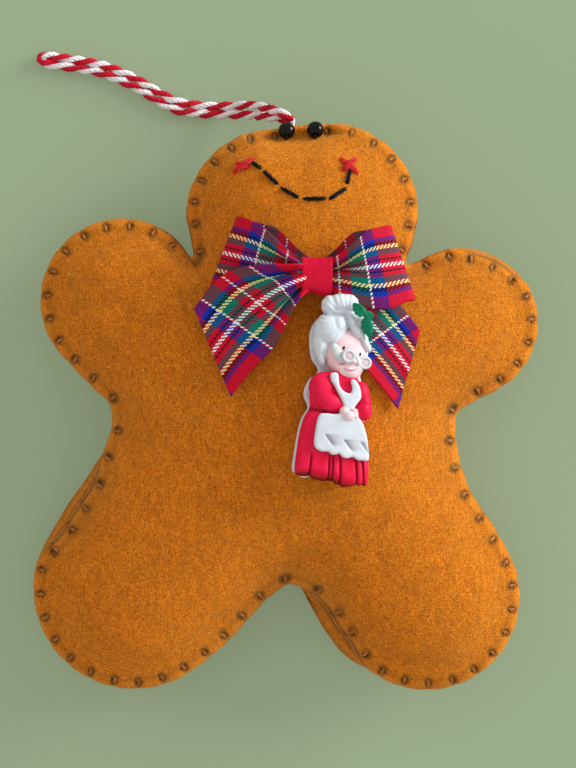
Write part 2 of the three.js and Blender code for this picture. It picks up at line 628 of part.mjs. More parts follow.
function loop({ x, y, lean, closed }, side) {
  const start = bandEdge(side);
  const end = new THREE.Vector2(x, y);
  const tip = end.clone().sub(start).normalize();
  const edge = new THREE.Vector2(Math.sin(rad(lean)), Math.cos(rad(lean)));
  const length = start.distanceTo(end) - LOOP_FOLD;
  const row = (out, lift) => SPAN.map((v) => {
    const part = Math.min(1, Math.max(0, out) / length);
    const wide = lerp(pinch, RIBBON / 2, smoothstep(part, 0.05, 0.85));
    const aim = new THREE.Vector2(0, 1).lerp(edge, part).normalize();
    const p = out < 0 ? inBand(side) : start.clone().addScaledVector(tip, out);
    p.addScaledVector(aim, wide * v);
    return V3(p.x, p.y, bowBase(p.x, p.y) + lift(part, v));
  });
  // The loop stands open across its width, less towards an edge it is closed at
  const open = (v) => (closed ? (1 - closed * v) / 2 : 1);
  const low = () => layer(1);
  const high = (part, v) => {
    const foot = layer(2) + RIBBON_THICK;
    const far = foot + (2 * LOOP_FOLD - RIBBON_THICK) * open(v);
    return lerp(foot, far, part) + LOOP_RISE * Math.sin(0.9 * Math.PI * part) * open(v);
  };
  const fold = [-50, 0, 50].map((a) => row(
    length + LOOP_FOLD * Math.cos(rad(a)),
    (part, v) => lerp(low(), high(1, v), 0.5 + 0.5 * Math.sin(rad(a))),
  ));
  const parts = [-1, 0, 0.25, 0.5, 0.75, 1];
  const rows = [
    ...parts.map((part) => row(part * length, low)),
    ...fold,
    ...parts.reverse().map((part) => row(part * length, high)),
  ];
  return ribbon(side > 0 ? rows.map((r) => r.reverse()) : rows);
}
add("bow_left_loop", loop(LEFT_LOOP, -1), TARTAN_LOOK);
add("bow_right_loop", loop(RIGHT_LOOP, 1), TARTAN_LOOK);

function tail({ x, y, bend, cut, curl, hold }, side, level) {
  const end = new THREE.Vector2(x, y);
  const run = new THREE.QuadraticBezierCurve(bandEdge(side), new THREE.Vector2(...bend), end);
  const aim = run.getTangent(1);
  const endEdge = new THREE.Vector2(-aim.y, aim.x).addScaledVector(aim, Math.tan(rad(cut)));
  endEdge.multiplyScalar((side * curl * RIBBON) / 2);
  const rows = [-1, 0, 0.15, 0.3, 0.45, 0.6, 0.8, 1].map((at) => SPAN.map((v) => {
    const part = Math.max(0, at);
    const p = at < 0 ? inBand(side) : run.getPoint(part);
    const half = new THREE.Vector2(0, pinch).lerp(endEdge, smoothstep(part, 0.05, 0.85));
    p.addScaledVector(half, v);
    const settle = smoothstep(part, 0.35, 1) * (1 - (hold * (v + 1)) / 2);
    const seat = lerp(bowBase(p.x, p.y), frontAt(p.x, p.y) + FIT, settle);
    return V3(p.x, p.y, seat + level(part, v));
  }));
  return ribbon(side < 0 ? rows.map((r) => r.reverse()) : rows);
}
const leftLevel = (part, v) => {
  const stand = TAIL_LIFT * Math.sin(Math.PI * part ** 0.7) * (1 + 0.5 * v);
  return lerp(layer(3) + RIBBON_THICK, TAIL_END.left + TAIL_END.tilt * v, part ** 1.5) + stand;
};
const rightLevel = (part) => lerp(layer(0) + RIBBON_THICK, TAIL_END.right, part);
add("bow_left_tail", tail(LEFT_TAIL, -1, leftLevel), TARTAN_LOOK);
add("bow_right_tail", tail(RIGHT_TAIL, 1, rightLevel), TARTAN_LOOK);

function roundedBox(width, height, round) {
  const w = width / 2;
  const h = height / 2;
  const shape = new THREE.Shape();
  shape.moveTo(-w + round, -h);
  shape.lineTo(w - round, -h);
  shape.absarc(w - round, -h + round, round, -Math.PI / 2, 0);
  shape.absarc(w - round, h - round, round, 0, Math.PI / 2);
  shape.absarc(-w + round, h - round, round, Math.PI / 2, Math.PI);
  shape.absarc(-w + round, -h + round, round, Math.PI, 1.5 * Math.PI);
  return shape;
}
const bandShape = roundedBox(BAND.height, bandDepth, BAND_ROUND);
const twice = 2 * BAND.thick;
const bandHole = roundedBox(BAND.height - twice, bandDepth - twice, BAND_ROUND - BAND.thick);
bandShape.holes.push(new THREE.Path(bandHole.getPoints(4)));
const bandGeometry = new THREE.ExtrudeGeometry(bandShape, {
  depth: BAND.width,
  bevelEnabled: false,
  curveSegments: 4,
});
const band = add("bow_band", bandGeometry, SATIN_LOOK);
band.rotation.set(Math.PI / 2, Math.PI / 2, 0);
band.position.set(BAND.x - BAND.width / 2, BAND.y, bowSeat + bandDepth / 2);

// Charm: a grandmother doll in a red dress and white apron on a push-in button
const charm = new THREE.Group();
charm.name = "charm";
const charmNormal = normalAt(CHARM.x, CHARM.y);
charm.quaternion.setFromUnitVectors(V3(0, 0, 1), charmNormal);
charm.rotateZ(rad(CHARM.lean));
charm.position.copy(onFront(CHARM.x, CHARM.y, 0));
charm.updateMatrix();
ornament.add(charm);

// Levels along the charm's own axis
const flangeLow = FIT;
const backingLow = flangeLow + PLUG.rim + FINE_FIT;
const dressLow = backingLow + BACKING + FINE_FIT;
const apronLow = dressLow + DRESS_DEPTH + FINE_FIT;
const headTop = -FELT - 2 * FIT;
const plugProfile = (grow) => [
  [0, headTop - PLUG.headThick - grow],
  [PLUG.head + grow, headTop - PLUG.headThick - grow],
  [PLUG.head + grow, headTop + grow],
  [PLUG.neck + grow, headTop + grow],
  [PLUG.neck + grow, flangeLow],
  [PLUG.flange, flangeLow],
  [PLUG.flange, flangeLow + PLUG.rim],
  [0, flangeLow + PLUG.rim],
].map(([x, y]) => new THREE.Vector2(x, y));
const upright = new THREE.Matrix4().makeRotationX(Math.PI / 2);
const plug = (grow) => new THREE.LatheGeometry(plugProfile(grow), 20).applyMatrix4(upright);
add("charm_plug", plug(0), PLUG_LOOK, charm);
const plugRoom = solid(plug(FIT), charm.matrix);
front = front.subtract(plugRoom);
torso = torso.subtract(plugRoom);

function plate(points, low, depth) {
  const shape = new THREE.Shape(points.map(([u, v]) => new THREE.Vector2(u, v)));
  const made = new THREE.ExtrudeGeometry(shape, { depth, bevelEnabled: false });
  return solid(made, new THREE.Matrix4().makeTranslation(0, 0, low));
}
function blob({ u, v, w, ru, rv, rw }, grow = 0) {
  const place = new THREE.Matrix4().makeTranslation(u, v, w + backingLow);
  place.scale(V3(ru + grow, rv + grow, rw + grow));
  return solid(new THREE.SphereGeometry(1, 12, 6), place);
}

const backing = plate(BACKING_EDGE, backingLow, BACKING);
// The skirt's hem runs in and out with its pleats
const hem = [];
for (let i = 0; i <= HEM.turns; i++) {
  const share = i / HEM.turns;
  const fold = i % 2 ? HEM.pleat : 0;
  hem.push([HEM.right - HEM.width * share, HEM.low + HEM.rise * share - fold]);
}
let dress = plate([...DRESS_EDGE, ...hem], dressLow, DRESS_DEPTH);
let apron = plate(APRON_EDGE, apronLow, APRON_DEPTH);
let hair = wasm.Manifold.union(HAIR.map((part) => blob(part)));
let face = blob(FACE);
const sleeves = [SLEEVE_LEFT, SLEEVE_RIGHT];
const reserve = (made, ...parts) => parts.reduce((left, part) => left.subtract(blob(part, FINE_FIT)), made);
const square = [[-1, -1], [1, -1], [1, 1], [-1, 1]].map(([u, v]) => [u * CHARM_REACH, v * CHARM_REACH]);
const aboveBacking = plate(square, dressLow, CHARM_REACH);
dress = reserve(dress, ...sleeves, FACE, ...HAIR);
apron = reserve(apron, ...sleeves, HANDS, FACE, ...HAIR);
hair = reserve(hair, FACE).intersect(aboveBacking);
face = face.intersect(aboveBacking);
const hands = blob(HANDS);
const [sleeveLeft, sleeveRight] = sleeves.map((part) => (
  reserve(blob(part), HANDS, FACE, ...HAIR).intersect(aboveBacking)
));
dress = reserve(dress, HANDS);

const holly = wasm.Manifold.union(LEAVES.map(({ turn, length }) => {
  const { width, thick, stem } = LEAF;
  const leaf = [[-stem, 0]];
  const teeth = [[0.05, 0.5], [0.25, 0.36], [0.42, 1], [0.58, 0.6], [0.75, 0.72], [0.84, 0.3]];
  for (const [along, out] of teeth) leaf.push([along * length, (-out * width) / 2]);
  leaf.push([length, 0]);
  for (const [along, out] of teeth.reverse()) leaf.push([along * length, (out * width) / 2]);
  const shape = new THREE.Shape(leaf.map(([x, y]) => new THREE.Vector2(x, y)));
  const place = new THREE.Matrix4().makeTranslation(LEAF.u, LEAF.v, LEAF.w + backingLow);
  place.multiply(new THREE.Matrix4().makeRotationZ(rad(turn)));
  return solid(new THREE.ExtrudeGeometry(shape, { depth: thick, bevelEnabled: false }), place);
}));

const wires = LENSES.map(([u, v]) => solid(
  new THREE.TorusGeometry(LENS.ring, LENS.wire, 5, 12),
  new THREE.Matrix4().makeTranslation(u, v, LENS.w + backingLow),
));
const [lensA, lensB] = LENSES.map(([u, v]) => V3(u, v, LENS.w + backingLow));
const bridgeAim = lensB.clone().sub(lensA).normalize();
const bridge = tube([
  lensA.clone().addScaledVector(bridgeAim, LENS.ring),
  lensB.clone().addScaledVector(bridgeAim, -LENS.ring),
], 2 * LENS.wire, 6, 1);
const spectacles = wasm.Manifold.union([...wires, solid(bridge)]);

add("charm_backing", skin(backing), WHITE_LOOK, charm);
add("charm_dress", skin(dress), DRESS_LOOK, charm);
add("charm_apron", skin(apron), WHITE_LOOK, charm);
add("charm_left_sleeve", skin(sleeveLeft), DRESS_LOOK, charm);
add("charm_right_sleeve", skin(sleeveRight), DRESS_LOOK, charm);
add("charm_hands", skin(hands), SKIN_LOOK, charm);
add("charm_face", skin(face), SKIN_LOOK, charm);
add("charm_hair", skin(hair), WHITE_LOOK, charm);
add("charm_holly", skin(holly), HOLLY_LOOK, charm);
add("charm_spectacles", skin(spectacles), WHITE_LOOK, charm);

add("edge_stitching", skin(stitching), STITCH_LOOK);
add("front_panel", skin(front), FELT_LOOK);
add("back_panel", skin(back), FELT_LOOK);
add("stuffing_torso", skin(torso), FILL_LOOK);
add("stuffing_head", skin(headWad), FILL_LOOK);
add("stuffing_left_arm", skin(leftArmWad), FILL_LOOK);
add("stuffing_right_arm", skin(rightArmWad), FILL_LOOK);
add("stuffing_left_leg", skin(leftLegWad), FILL_LOOK);
add("stuffing_right_leg", skin(rightLegWad), FILL_LOOK);

// The frame's origin is under the middle of everything but the loose cord
const extent = new THREE.Box3();
ornament.updateMatrixWorld(true);
ornament.traverse((o) => {
  if (o.isMesh && o.name !== "hanger_loop") extent.union(new THREE.Box3().setFromObject(o));
});
const middle = extent.getCenter(new THREE.Vector3());
ornament.position.set(-middle.x, -middle.y, 0);

export default ornament;
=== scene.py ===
# %% [markdown]
# # A stuffed felt ornament
#
# The ornament's solids come from a CAD program. This lesson gives them their looks: felt, thread, twine,
# glass, ribbon and moulded plastic. The frame is in metres, and the pieces are only millimetres across, so
# each shape is modelled in millimetres and shrunk once, when it becomes a finished piece. What turns is built
# about its joint, which the frame knows.

import json
import math
import random

import bmesh
import bpy
from mathutils import Matrix, Vector, noise
from mathutils.bvhtree import BVHTree
from mathutils.geometry import interpolate_bezier
from mathutils.kdtree import KDTree


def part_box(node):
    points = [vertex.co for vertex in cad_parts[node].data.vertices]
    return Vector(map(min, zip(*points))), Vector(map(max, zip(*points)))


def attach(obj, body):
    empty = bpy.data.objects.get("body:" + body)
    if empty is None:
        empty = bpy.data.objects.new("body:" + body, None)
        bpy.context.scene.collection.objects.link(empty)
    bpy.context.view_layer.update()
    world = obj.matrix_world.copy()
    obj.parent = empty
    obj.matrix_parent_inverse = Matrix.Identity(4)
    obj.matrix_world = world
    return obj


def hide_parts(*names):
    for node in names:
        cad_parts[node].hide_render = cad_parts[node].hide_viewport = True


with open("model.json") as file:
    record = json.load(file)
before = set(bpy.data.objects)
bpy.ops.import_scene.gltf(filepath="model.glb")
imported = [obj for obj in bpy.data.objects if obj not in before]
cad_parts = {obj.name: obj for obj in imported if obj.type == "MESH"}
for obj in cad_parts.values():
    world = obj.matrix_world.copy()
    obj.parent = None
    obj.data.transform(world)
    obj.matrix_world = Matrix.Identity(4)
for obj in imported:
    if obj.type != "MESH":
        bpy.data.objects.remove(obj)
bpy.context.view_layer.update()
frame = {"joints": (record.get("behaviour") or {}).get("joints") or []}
MM = 0.001
scene = bpy.context.scene
JOINTS = {joint["child"]: joint for joint in frame["joints"]}


def at_joint(body):
    """The place of a body's joint in millimetres, turned so that Z runs along its axis."""
    joint = JOINTS[body]
    turn = Vector((0, 0, 1)).rotation_difference(Vector(joint["axis"])).to_matrix().to_4x4()
    return Matrix.Translation(Vector(joint["pos_m"]) / MM) @ turn


# %% [markdown]
# ## The camera
#
# The ornament lies on a table and is seen from straight above. A camera that isn't turned looks down its
# own -Z axis, which is straight down, so it only needs a place and a lens.

# %% Camera
lens = bpy.data.cameras.new("camera")
lens.lens, lens.sensor_width = 103.6, 36
camera = bpy.data.objects.new("camera", lens)
camera.location = Vector((0.45, 4.33, 431.15)) * MM
scene.collection.objects.link(camera)
scene.camera = camera
print("camera", round(camera.location.z, 3), "m above the table")

# %% [markdown]
# ## Helpers for shapes
#
# Most of this object follows lines: the felt's outline, threads, twine and ribbon edges. Blender has a
# function that walks along a Bezier curve, so a smooth line through a few points needs only the handles. A
# thread is a curve with a round bevel, turned into a mesh so that many threads make one piece.

# %% Lines, threads and finished pieces
FINISH = {}


def flow(points, steps, closed=False):
    """A smooth line through the points, in so many steps from each one to the next."""
    knots = [Vector(p) for p in points]
    count = len(knots)

    def at(n):
        return knots[n % count] if closed else knots[max(0, min(count - 1, n))]

    line = []
    for n in range(count if closed else count - 1):
        a, b = at(n), at(n + 1)
        line += interpolate_bezier(a, a + (b - at(n - 1)) / 6, b - (at(n + 2) - a) / 6, b, steps + 1)[:-1]
    return line if closed else line + [knots[-1]]


def even(line, count, closed=False):
    """So many points at equal distances along a line, and the line's length."""
    ring = line + line[:1] if closed else line
    runs = [0]
    for a, b in zip(ring, ring[1:]):
        runs.append(runs[-1] + (b - a).length)
    spots, n = [], 0
    for k in range(count):
        run = runs[-1] * k / (count if closed else count - 1)
        while n < len(ring) - 2 and runs[n + 1] < run:
            n += 1
        spots.append(ring[n].lerp(ring[n + 1], (run - runs[n]) / max(runs[n + 1] - runs[n], 1e-9)))
    return spots, runs[-1]


def baked(holder):
    """The mesh of an object after its modifiers, and the object taken away again."""
    scene.collection.objects.link(holder)
    mesh = bpy.data.meshes.new_from_object(holder.evaluated_get(bpy.context.evaluated_depsgraph_get()))
    bpy.data.objects.remove(holder)
    shape = bmesh.new()
    shape.from_mesh(mesh)
    bpy.data.meshes.remove(mesh)
    return shape


def as_mesh(name, shape):
    """A shape put into a mesh, and let go."""
    mesh = bpy.data.meshes.new(name)
    shape.to_mesh(mesh)
    shape.free()
    return mesh


def squared(mesh, voxel, rounds=0):
    """A mesh remade of small even squares, and smoothed so many times."""
    holder = bpy.data.objects.new("squares", mesh)
    squares = holder.modifiers.new("squares", "REMESH")
    squares.mode, squares.voxel_size = "VOXEL", voxel
    if rounds:
        soft = holder.modifiers.new("soft", "SMOOTH")
        soft.factor, soft.iterations = 0.5, rounds
    shape = baked(holder)
    bpy.data.meshes.remove(mesh)
    return shape


def spun(outline, steps):
    """A turned shape: an outline of radii and heights spun once round, closed if it starts off the axis."""
    shape = bmesh.new()
    spots = [shape.verts.new((r, 0, h)) for r, h in outline]
    ring = spots + spots[:1] if outline[0][0] else spots
    half = [shape.edges.new(pair) for pair in zip(ring, ring[1:])]
    bmesh.ops.spin(shape, geom=spots + half, cent=(0, 0, 0), axis=(0, 0, 1), angle=math.tau, steps=steps,
                   use_merge=True)
    bmesh.ops.remove_doubles(shape, verts=shape.verts, dist=0.001)
    bmesh.ops.recalc_face_normals(shape, faces=shape.faces)
    return shape


def threads(lines, sides=1):
    """Round threads along lines. Each line comes with a radius, or one for each point, and a finish number."""
    curve = bpy.data.curves.new("threads", "CURVE")
    curve.materials.append(None)
    curve.materials.append(None)
    curve.dimensions, curve.bevel_depth, curve.bevel_resolution, curve.use_fill_caps = "3D", 1, sides, True
    for line, radius, finish_number in lines:
        spline = curve.splines.new("POLY")
        spline.points.add(len(line) - 1)
        spline.material_index = finish_number
        for n, spot in enumerate(line):
            spline.points[n].co = (*spot, 1)
            spline.points[n].radius = radius[n] if isinstance(radius, list) else radius
    shape = baked(bpy.data.objects.new("threads", curve))
    bpy.data.curves.remove(curve)
    return shape


def twisted(line, strands, reach, turns, start=0.0):
    """Strands wound about a line at a distance, one turn in each length or as a function of the run says."""
    spots = [[] for _ in range(strands)]
    run, side = 0.0, None
    for n, spot in enumerate(line):
        ahead = (line[min(n + 1, len(line) - 1)] - line[max(n - 1, 0)]).normalized()
        run += (spot - line[max(n - 1, 0)]).length
        side = (ahead.orthogonal() if side is None else side - ahead * side.dot(ahead)).normalized()
        over = ahead.cross(side)
        round_by = turns(run) if callable(turns) else run / turns
        for k in range(strands):
            angle = math.tau * (round_by + k / strands) + start
            spots[k].append(spot + (side * math.cos(angle) + over * math.sin(angle)) * reach)
    return spots


def piece(name, shape, slots, body, *nodes, place=Matrix()):
    """A shape in millimetres made a finished piece: shrunk, painted, on its body and in place of solids."""
    mesh = as_mesh(name, shape)
    mesh.transform(Matrix.Scale(MM, 4) @ place)
    mesh.shade_smooth()
    slots = [slots] if isinstance(slots, str) else slots
    for slot in slots:
        mesh.materials.append(FINISH[slot])
    made = bpy.data.objects.new(name, mesh)
    scene.collection.objects.link(made)
    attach(made, body)
    if nodes:
        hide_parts(*nodes)
    print(name, len(mesh.polygons), "faces")
    return made


def smooth(x, low, high):
    """A step that rises softly from 0 at low to 1 at high."""
    t = max(0, min(1, (x - low) / (high - low)))
    return t * t * (3 - 2 * t)


print("helpers for lines, threads and pieces are ready")

# %% [markdown]
# ## Helpers for finishes
#
# A procedural material is a sum written in nodes. The class below wraps one output of a node, so that
# ordinary signs such as + and * add Math nodes, and one method makes every other kind. A finish then reads
# as a formula.

# %% Wires between shader nodes
class Wire:
    """An output of a shader node. Sums on wires become Math nodes."""

    def __init__(self, tree, socket):
        self.tree, self.socket = tree, socket

    def node(self, kind, settings, sockets, out=0):
        """A new node of a kind: its settings first, then values or wires for its sockets."""
        made = self.tree.nodes.new("ShaderNode" + kind)
        for name, value in settings.items():
            if name == "stops":
                made.color_ramp.interpolation = "CONSTANT"
                for n, (spot, colour) in enumerate(value):
                    stop = made.color_ramp.elements[n] if n < 2 else made.color_ramp.elements.new(spot)
                    stop.position, stop.color = spot, colour
            else:
                setattr(made, name, value)
        for name, value in sockets.items():
            if isinstance(value, Wire):
                self.tree.links.new(value.socket, made.inputs[name])
            else:
                made.inputs[name].default_value = value
        return Wire(self.tree, made.outputs[out])

    def sum(self, operation, a, b=0.0):
        return self.node("Math", {"operation": operation}, {0: a, 1: b})

    def __add__(self, other):
        return self.sum("ADD", self, other)

    __radd__ = __add__

    def __sub__(self, other):
        return self.sum("SUBTRACT", self, other)

    def __rsub__(self, other):
        return self.sum("SUBTRACT", other, self)

    def __mul__(self, other):
        return self.sum("MULTIPLY", self, other)

    __rmul__ = __mul__

    def __truediv__(self, other):
        return self.sum("DIVIDE", self, other)

    def __rtruediv__(self, other):
        return self.sum("DIVIDE", other, self)

    def __pow__(self, other):
        return self.sum("POWER", self, other)


def ink(red, green, blue):
    """A colour as a picture names it, from 0 to 255, in the linear light that shaders use."""
    parts = [x / 255 for x in (red, green, blue)]
    return (*[x / 12.92 if x < 0.04045 else ((x + 0.055) / 1.055) ** 2.4 for x in parts], 1)


def grains(place, scale, detail=2.0, rough=0.5, twist=0.0):
    """Cloudy noise from 0 to 1, with so many grains in a metre."""
    inputs = {"Vector": place, "Scale": scale, "Detail": detail, "Roughness": rough, "Distortion": twist}
    return place.node("TexNoise", {}, inputs)


def turned(place, angle, scale):
    """The place, turned about Z and stretched, so that grains become streaks."""
    return place.node("Mapping", {}, {"Vector": place, "Rotation": (0, 0, angle), "Scale": scale})


def between(wire, low, high):
    """A wire's range from low to high spread over 0 to 1."""
    limits = {"Value": wire, "From Min": low, "From Max": high}
    return wire.node("MapRange", {"interpolation_type": "SMOOTHSTEP"}, limits)


def blended(share, first, second):
    """One colour fading to another by a share."""
    return share.node("Mix", {"data_type": "RGBA"}, {0: share, 6: first, 7: second}, 2)


def shaded(colour, share):
    """A colour made darker or lighter by a share, where 1 leaves it alone."""
    return share.node("VectorMath", {"operation": "SCALE"}, {0: colour, "Scale": share})


def bumps(height, depth, strength=1.0):
    """The surface's slope where a height from 0 to 1 stands for a depth in millimetres."""
    return height.node("Bump", {}, {"Strength": strength, "Distance": depth * MM, "Height": height})


def marked(place, name):
    """A number that the mesh holds at each of its points."""
    return place.node("Attribute", {"attribute_name": name}, {}, "Fac")


def finish(slot, fixed, vary):
    """A finish: fixed numbers on the shader's sockets, and wires worked out from the place or the UV map."""
    made = bpy.data.materials.new(slot)
    made.use_nodes = True
    tree = made.node_tree
    shader = tree.nodes["Principled BSDF"]
    for socket, value in fixed.items():
        shader.inputs[socket].default_value = value
    where = tree.nodes.new("ShaderNodeTexCoord")
    wires = vary(Wire(tree, where.outputs["Object"]), Wire(tree, where.outputs["UV"]))
    for socket, wire in wires.items():
        tree.links.new(wire.socket, shader.inputs[socket])
    FINISH[slot] = made
    print("finish", slot, len(tree.nodes), "nodes")


# %% [markdown]
# ## Felt
#
# Felt is wool pressed until its fibres lock, so it has no weave: only short curled fibres that catch light in
# every direction, with soft patches where they lie flatter. One noise gives the grain, a stretched pair gives
# the fibres, a coarse one the patches, and small pits are dark. A soft sheen stands for the loose ends that
# glow at the edge. An attribute of the mesh holds painted shade: the finish darkens the felt where a stitch
# has pulled it in, around the stitch holes, along the stitches and under the shadow of the front's lip, and
# paints light on the puffs between stitches, where the attribute is below zero.

# %% Felt finish
def felt_look(place, cloth):
    grain = grains(place, 4300, 2, 0.6, 0.4)
    fibres = grains(turned(place, 0.35, (1, 0.25, 1)), 4300, 2, 0.6, 0.9)
    crossing = grains(turned(place, -0.8, (0.25, 1, 1)), 4000, 2, 0.6, 0.9)
    patches = grains(place, 150, 3, 0.6)
    nap = grain * 0.4 + fibres * 0.35 + crossing * 0.25
    drift = grains(turned(place, 0.9, (1, 0.35, 1)), 900, 2)
    pits = between(grains(place, 3400, 0), 0.24, 0.34)
    dent_and_painted_shade = marked(place, "dent_and_painted_shade")
    colour = blended(between(nap, 0.36, 0.64), ink(175, 76, 0), ink(236, 140, 24))
    # The last factor is painted shade from the mesh's attribute, and painted light where it is below zero.
    light = (patches * 0.4 + 0.82) * (drift * 0.55 + 0.75) * (pits * 0.5 + 0.5) * (1 - dent_and_painted_shade * 0.8)
    colour = shaded(colour, light)
    specks = between(grains(place, 1500, 1, 0.4), 0.72, 0.78)
    return {
        "Base Color": blended(specks * 0.5, colour, ink(246, 186, 104)),
        "Normal": bumps(nap, 0.5, 0.8),
        "Roughness": patches * 0.1 + 0.75,
    }


finish("felt", {"Specular IOR Level": 0.1, "Sheen Weight": 0.5, "Sheen Roughness": 0.6,
                "Sheen Tint": ink(255, 200, 110)}, felt_look)

# %% [markdown]
# ## Thread, floss and fibrefill
#
# Cotton thread is dull, with fine hairs and a slightly uneven dye. The twist is modelled, so the finish only
# needs small streaks of light and dark and a soft bump.

# %% Thread finishes
def thread_look(dark, light):
    def look(place, cloth):
        hairs = grains(place, 3600, 2, 0.6, 0.5)
        dye = grains(place, 420, 2)
        return {
            "Base Color": blended(between(hairs * 0.7 + dye * 0.3, 0.32, 0.68), dark, light),
            "Normal": bumps(hairs, 0.12, 0.6),
            "Roughness": dye * 0.2 + 0.62,
        }

    return look


dull = {"Specular IOR Level": 0.2, "Sheen Weight": 0.1, "Sheen Roughness": 0.4}
finish("brown_thread", dull, thread_look(ink(152, 86, 36), ink(210, 138, 74)))
# The runs along the edge get a lighter copy of the same thread, as painted light where it lies lit on the rim.
finish("brown_thread.painted_light", dull, thread_look(ink(184, 110, 56), ink(226, 152, 92)))
finish("fibrefill", dull, thread_look(ink(222, 220, 214), ink(246, 245, 240)))
finish("black_floss", dull, thread_look(ink(5, 4, 6), ink(15, 13, 15)))
finish("red_floss", dull, thread_look(ink(186, 14, 30), ink(234, 40, 54)))
finish("twine", dull, thread_look(ink(186, 4, 34), ink(226, 18, 52)))
finish("twine.white", dull, thread_look(ink(242, 234, 241), ink(253, 248, 253)))

# %% [markdown]
# ## Outline of the felt
#
# The two felt panels share one outline: a gingerbread man with a broad head, short arms and round legs. The
# lobes are arcs, and the necks, waists and crotch are a few points. A smooth line goes through all of them,
# and is then cut into equal steps, so that stitches and rings can be counted along it. One side of the head
# is a little flatter than the other, because the cloth was cut and stuffed by hand.

# %% The outline
SEAM = 11.15
MIDDLE = Vector((0.348, -0.13, 0))
CHEST = Vector((0, 1.4, 0)) + MIDDLE
FLAT_SIDE = Vector((-13.4, 50.2, 0))
BETWEEN_EYES = Vector((2.9, 53))
CORD_HOLE = at_joint("hanger").translation.xy.to_3d()


def lobe(x, y, radius, start, end, steps):
    """Points on a round lobe of the outline."""
    turns = [math.radians(start + (end - start) * n / steps) for n in range(steps + 1)]
    return [(x + radius * math.cos(a), y + radius * math.sin(a)) for a in turns]


cut = (
    lobe(8.1, 37.2, 16.7, -20, 86, 6) + lobe(-4.2, 38.1, 15.5, 98, 204, 6) + [(-18.2, 28.4)]
    + lobe(-31.3, 20.3, 15.6, 50, 228, 10)
    + [(-37.2, 4), (-34.1, 1), (-33.3, -2.4), (-34.6, -7.4), (-37.8, -12.6), (-42, -18.6)]
    + lobe(-29.1, -34.3, 19.1, 160, 304, 9)
    + [(-12, -45.1), (-7.6, -40.4), (-3.4, -36), (0.7, -33.6), (4.3, -36), (8.4, -42.6), (12.2, -47.2)]
    + lobe(26.4, -35.9, 17.7, 236, 382, 9)
    + [(39.2, -22.6), (35.2, -16.6), (33, -11), (32, -5), (32.4, -1), (35.6, 1.2)]
    + lobe(33.3, 16.1, 14.3, -62, 118, 10) + [(22.6, 27.2)]
)
COLUMNS = 1080
edge, EDGE_LENGTH = even(flow([Vector((*p, 0)) + MIDDLE for p in cut], 8, True), COLUMNS, True)
outward = []
for n in range(COLUMNS):
    along = edge[(n + 1) % COLUMNS] - edge[n - 1]
    outward.append(Vector((along.y, -along.x, 0)).normalized())
flatter = [1.35 * (1 - smooth((spot - FLAT_SIDE).length, 2, 22)) for spot in edge]
edge = [spot - out * less for spot, out, less in zip(edge, outward, flatter)]
STITCHES = round(EDGE_LENGTH / 5)
PITCH = EDGE_LENGTH / STITCHES
at_stitch = [round((k + 0.5) * COLUMNS / STITCHES) % COLUMNS for k in range(STITCHES)]
bare = {k for k, n in enumerate(at_stitch) if (edge[n] - CORD_HOLE).length < 2.5}
print("outline", round(EDGE_LENGTH, 1), "mm long,", STITCHES, "stitches")

# %% [markdown]
# In three places the front is cut a little smaller and the stuffed back bulges out past the seam: on the
# inner side of one leg, the outer side of the other, and the top of an arm. There the seam moves in, and
# the back shows. The back's wall is fuller a little way past each place, so that the bulge ends without a
# step.

# %% The seam line
DRAWN_IN = [(Vector((8.6, -42.4, 0)), 11, 1.7, 1.7), (Vector((-41.2, -18.6, 0)), 13, 2.0, 1.05),
            (Vector((39.6, 28, 0)), 9, 1.0, 1.05)]
drawn, proud, fuller = [], [], []
for place in edge:
    pulled = bulged = full = 0
    for spot, reach, deep, past in DRAWN_IN:
        away = (place - spot).length
        pull = deep * (1 - smooth(away, 0.3 * reach, reach))
        pulled += pull
        bulged += pull * past
        full = max(full, 1 - smooth(away, reach, 1.6 * reach))
    drawn.append(pulled)
    proud.append(bulged)
    fuller.append(full)
seam = [spot - out * less for spot, out, less in zip(edge, outward, drawn)]
nearest = KDTree(COLUMNS)
for n, spot in enumerate(seam):
    nearest.insert(spot, n)
nearest.balance()


def from_edge(spot):
    """How far a place is inside the felt's edge, the nearest edge point, and its distance to a stitch."""
    _, n, far = nearest.find(Vector((spot.x, spot.y, 0)))
    run = n * EDGE_LENGTH / COLUMNS
    return far, n, PITCH / 2 if int(run / PITCH) in bare else (run % PITCH) - PITCH / 2


print("seam drawn in by up to", round(max(drawn), 2), "mm")

# %% [markdown]
# ## Stuffed felt body
#
# The body is two panels sewn round the edge and stuffed. A bag in the shape of the stuffing is made first:
# rings that shrink from the seam to the chest, lifted to the height of the solids. A short cloth simulation
# with pressure tightens it the way stuffing does. The panels are then laid over this bag with their own
# thickness, their sewn edge, and the small dents that the stitches pull into them.

# %% The stuffed bag
front_solid, back_solid = bpy.data.objects["front_panel"], bpy.data.objects["back_panel"]


def ray(spot, down):
    """The start and the way of a look straight down at a place, or straight up at it."""
    return Vector((spot.x, spot.y, 60 if down else -40)), Vector((0, 0, -1 if down else 1))


def height_of(solid, spot, down):
    """The height of a solid's outer face, looked for straight down or straight up."""
    start, way = ray(spot, down)
    hit, place, *_ = solid.ray_cast(start * MM, way)
    return place.z / MM if hit else SEAM


def rings(shape, rim, shares, middle):
    """Rings of faces from a rim towards a middle point, each one the rim scaled down to a share."""
    row = [shape.verts.new(spot) for spot in rim]
    loop = [shape.edges.new(pair) for pair in zip(row, row[1:] + row[:1])]
    first, last = loop, 1
    for share in shares:
        grown = bmesh.ops.extrude_edge_only(shape, edges=loop)["geom"]
        row = [x for x in grown if isinstance(x, bmesh.types.BMVert)]
        inner = set(row)
        loop = [x for x in grown if isinstance(x, bmesh.types.BMEdge) and all(v in inner for v in x.verts)]
        less = share / last
        bmesh.ops.scale(shape, vec=(less, less, 1), space=Matrix.Translation(-middle), verts=row)
        last = share
    bmesh.ops.pointmerge(shape, verts=row, merge_co=middle)
    return first


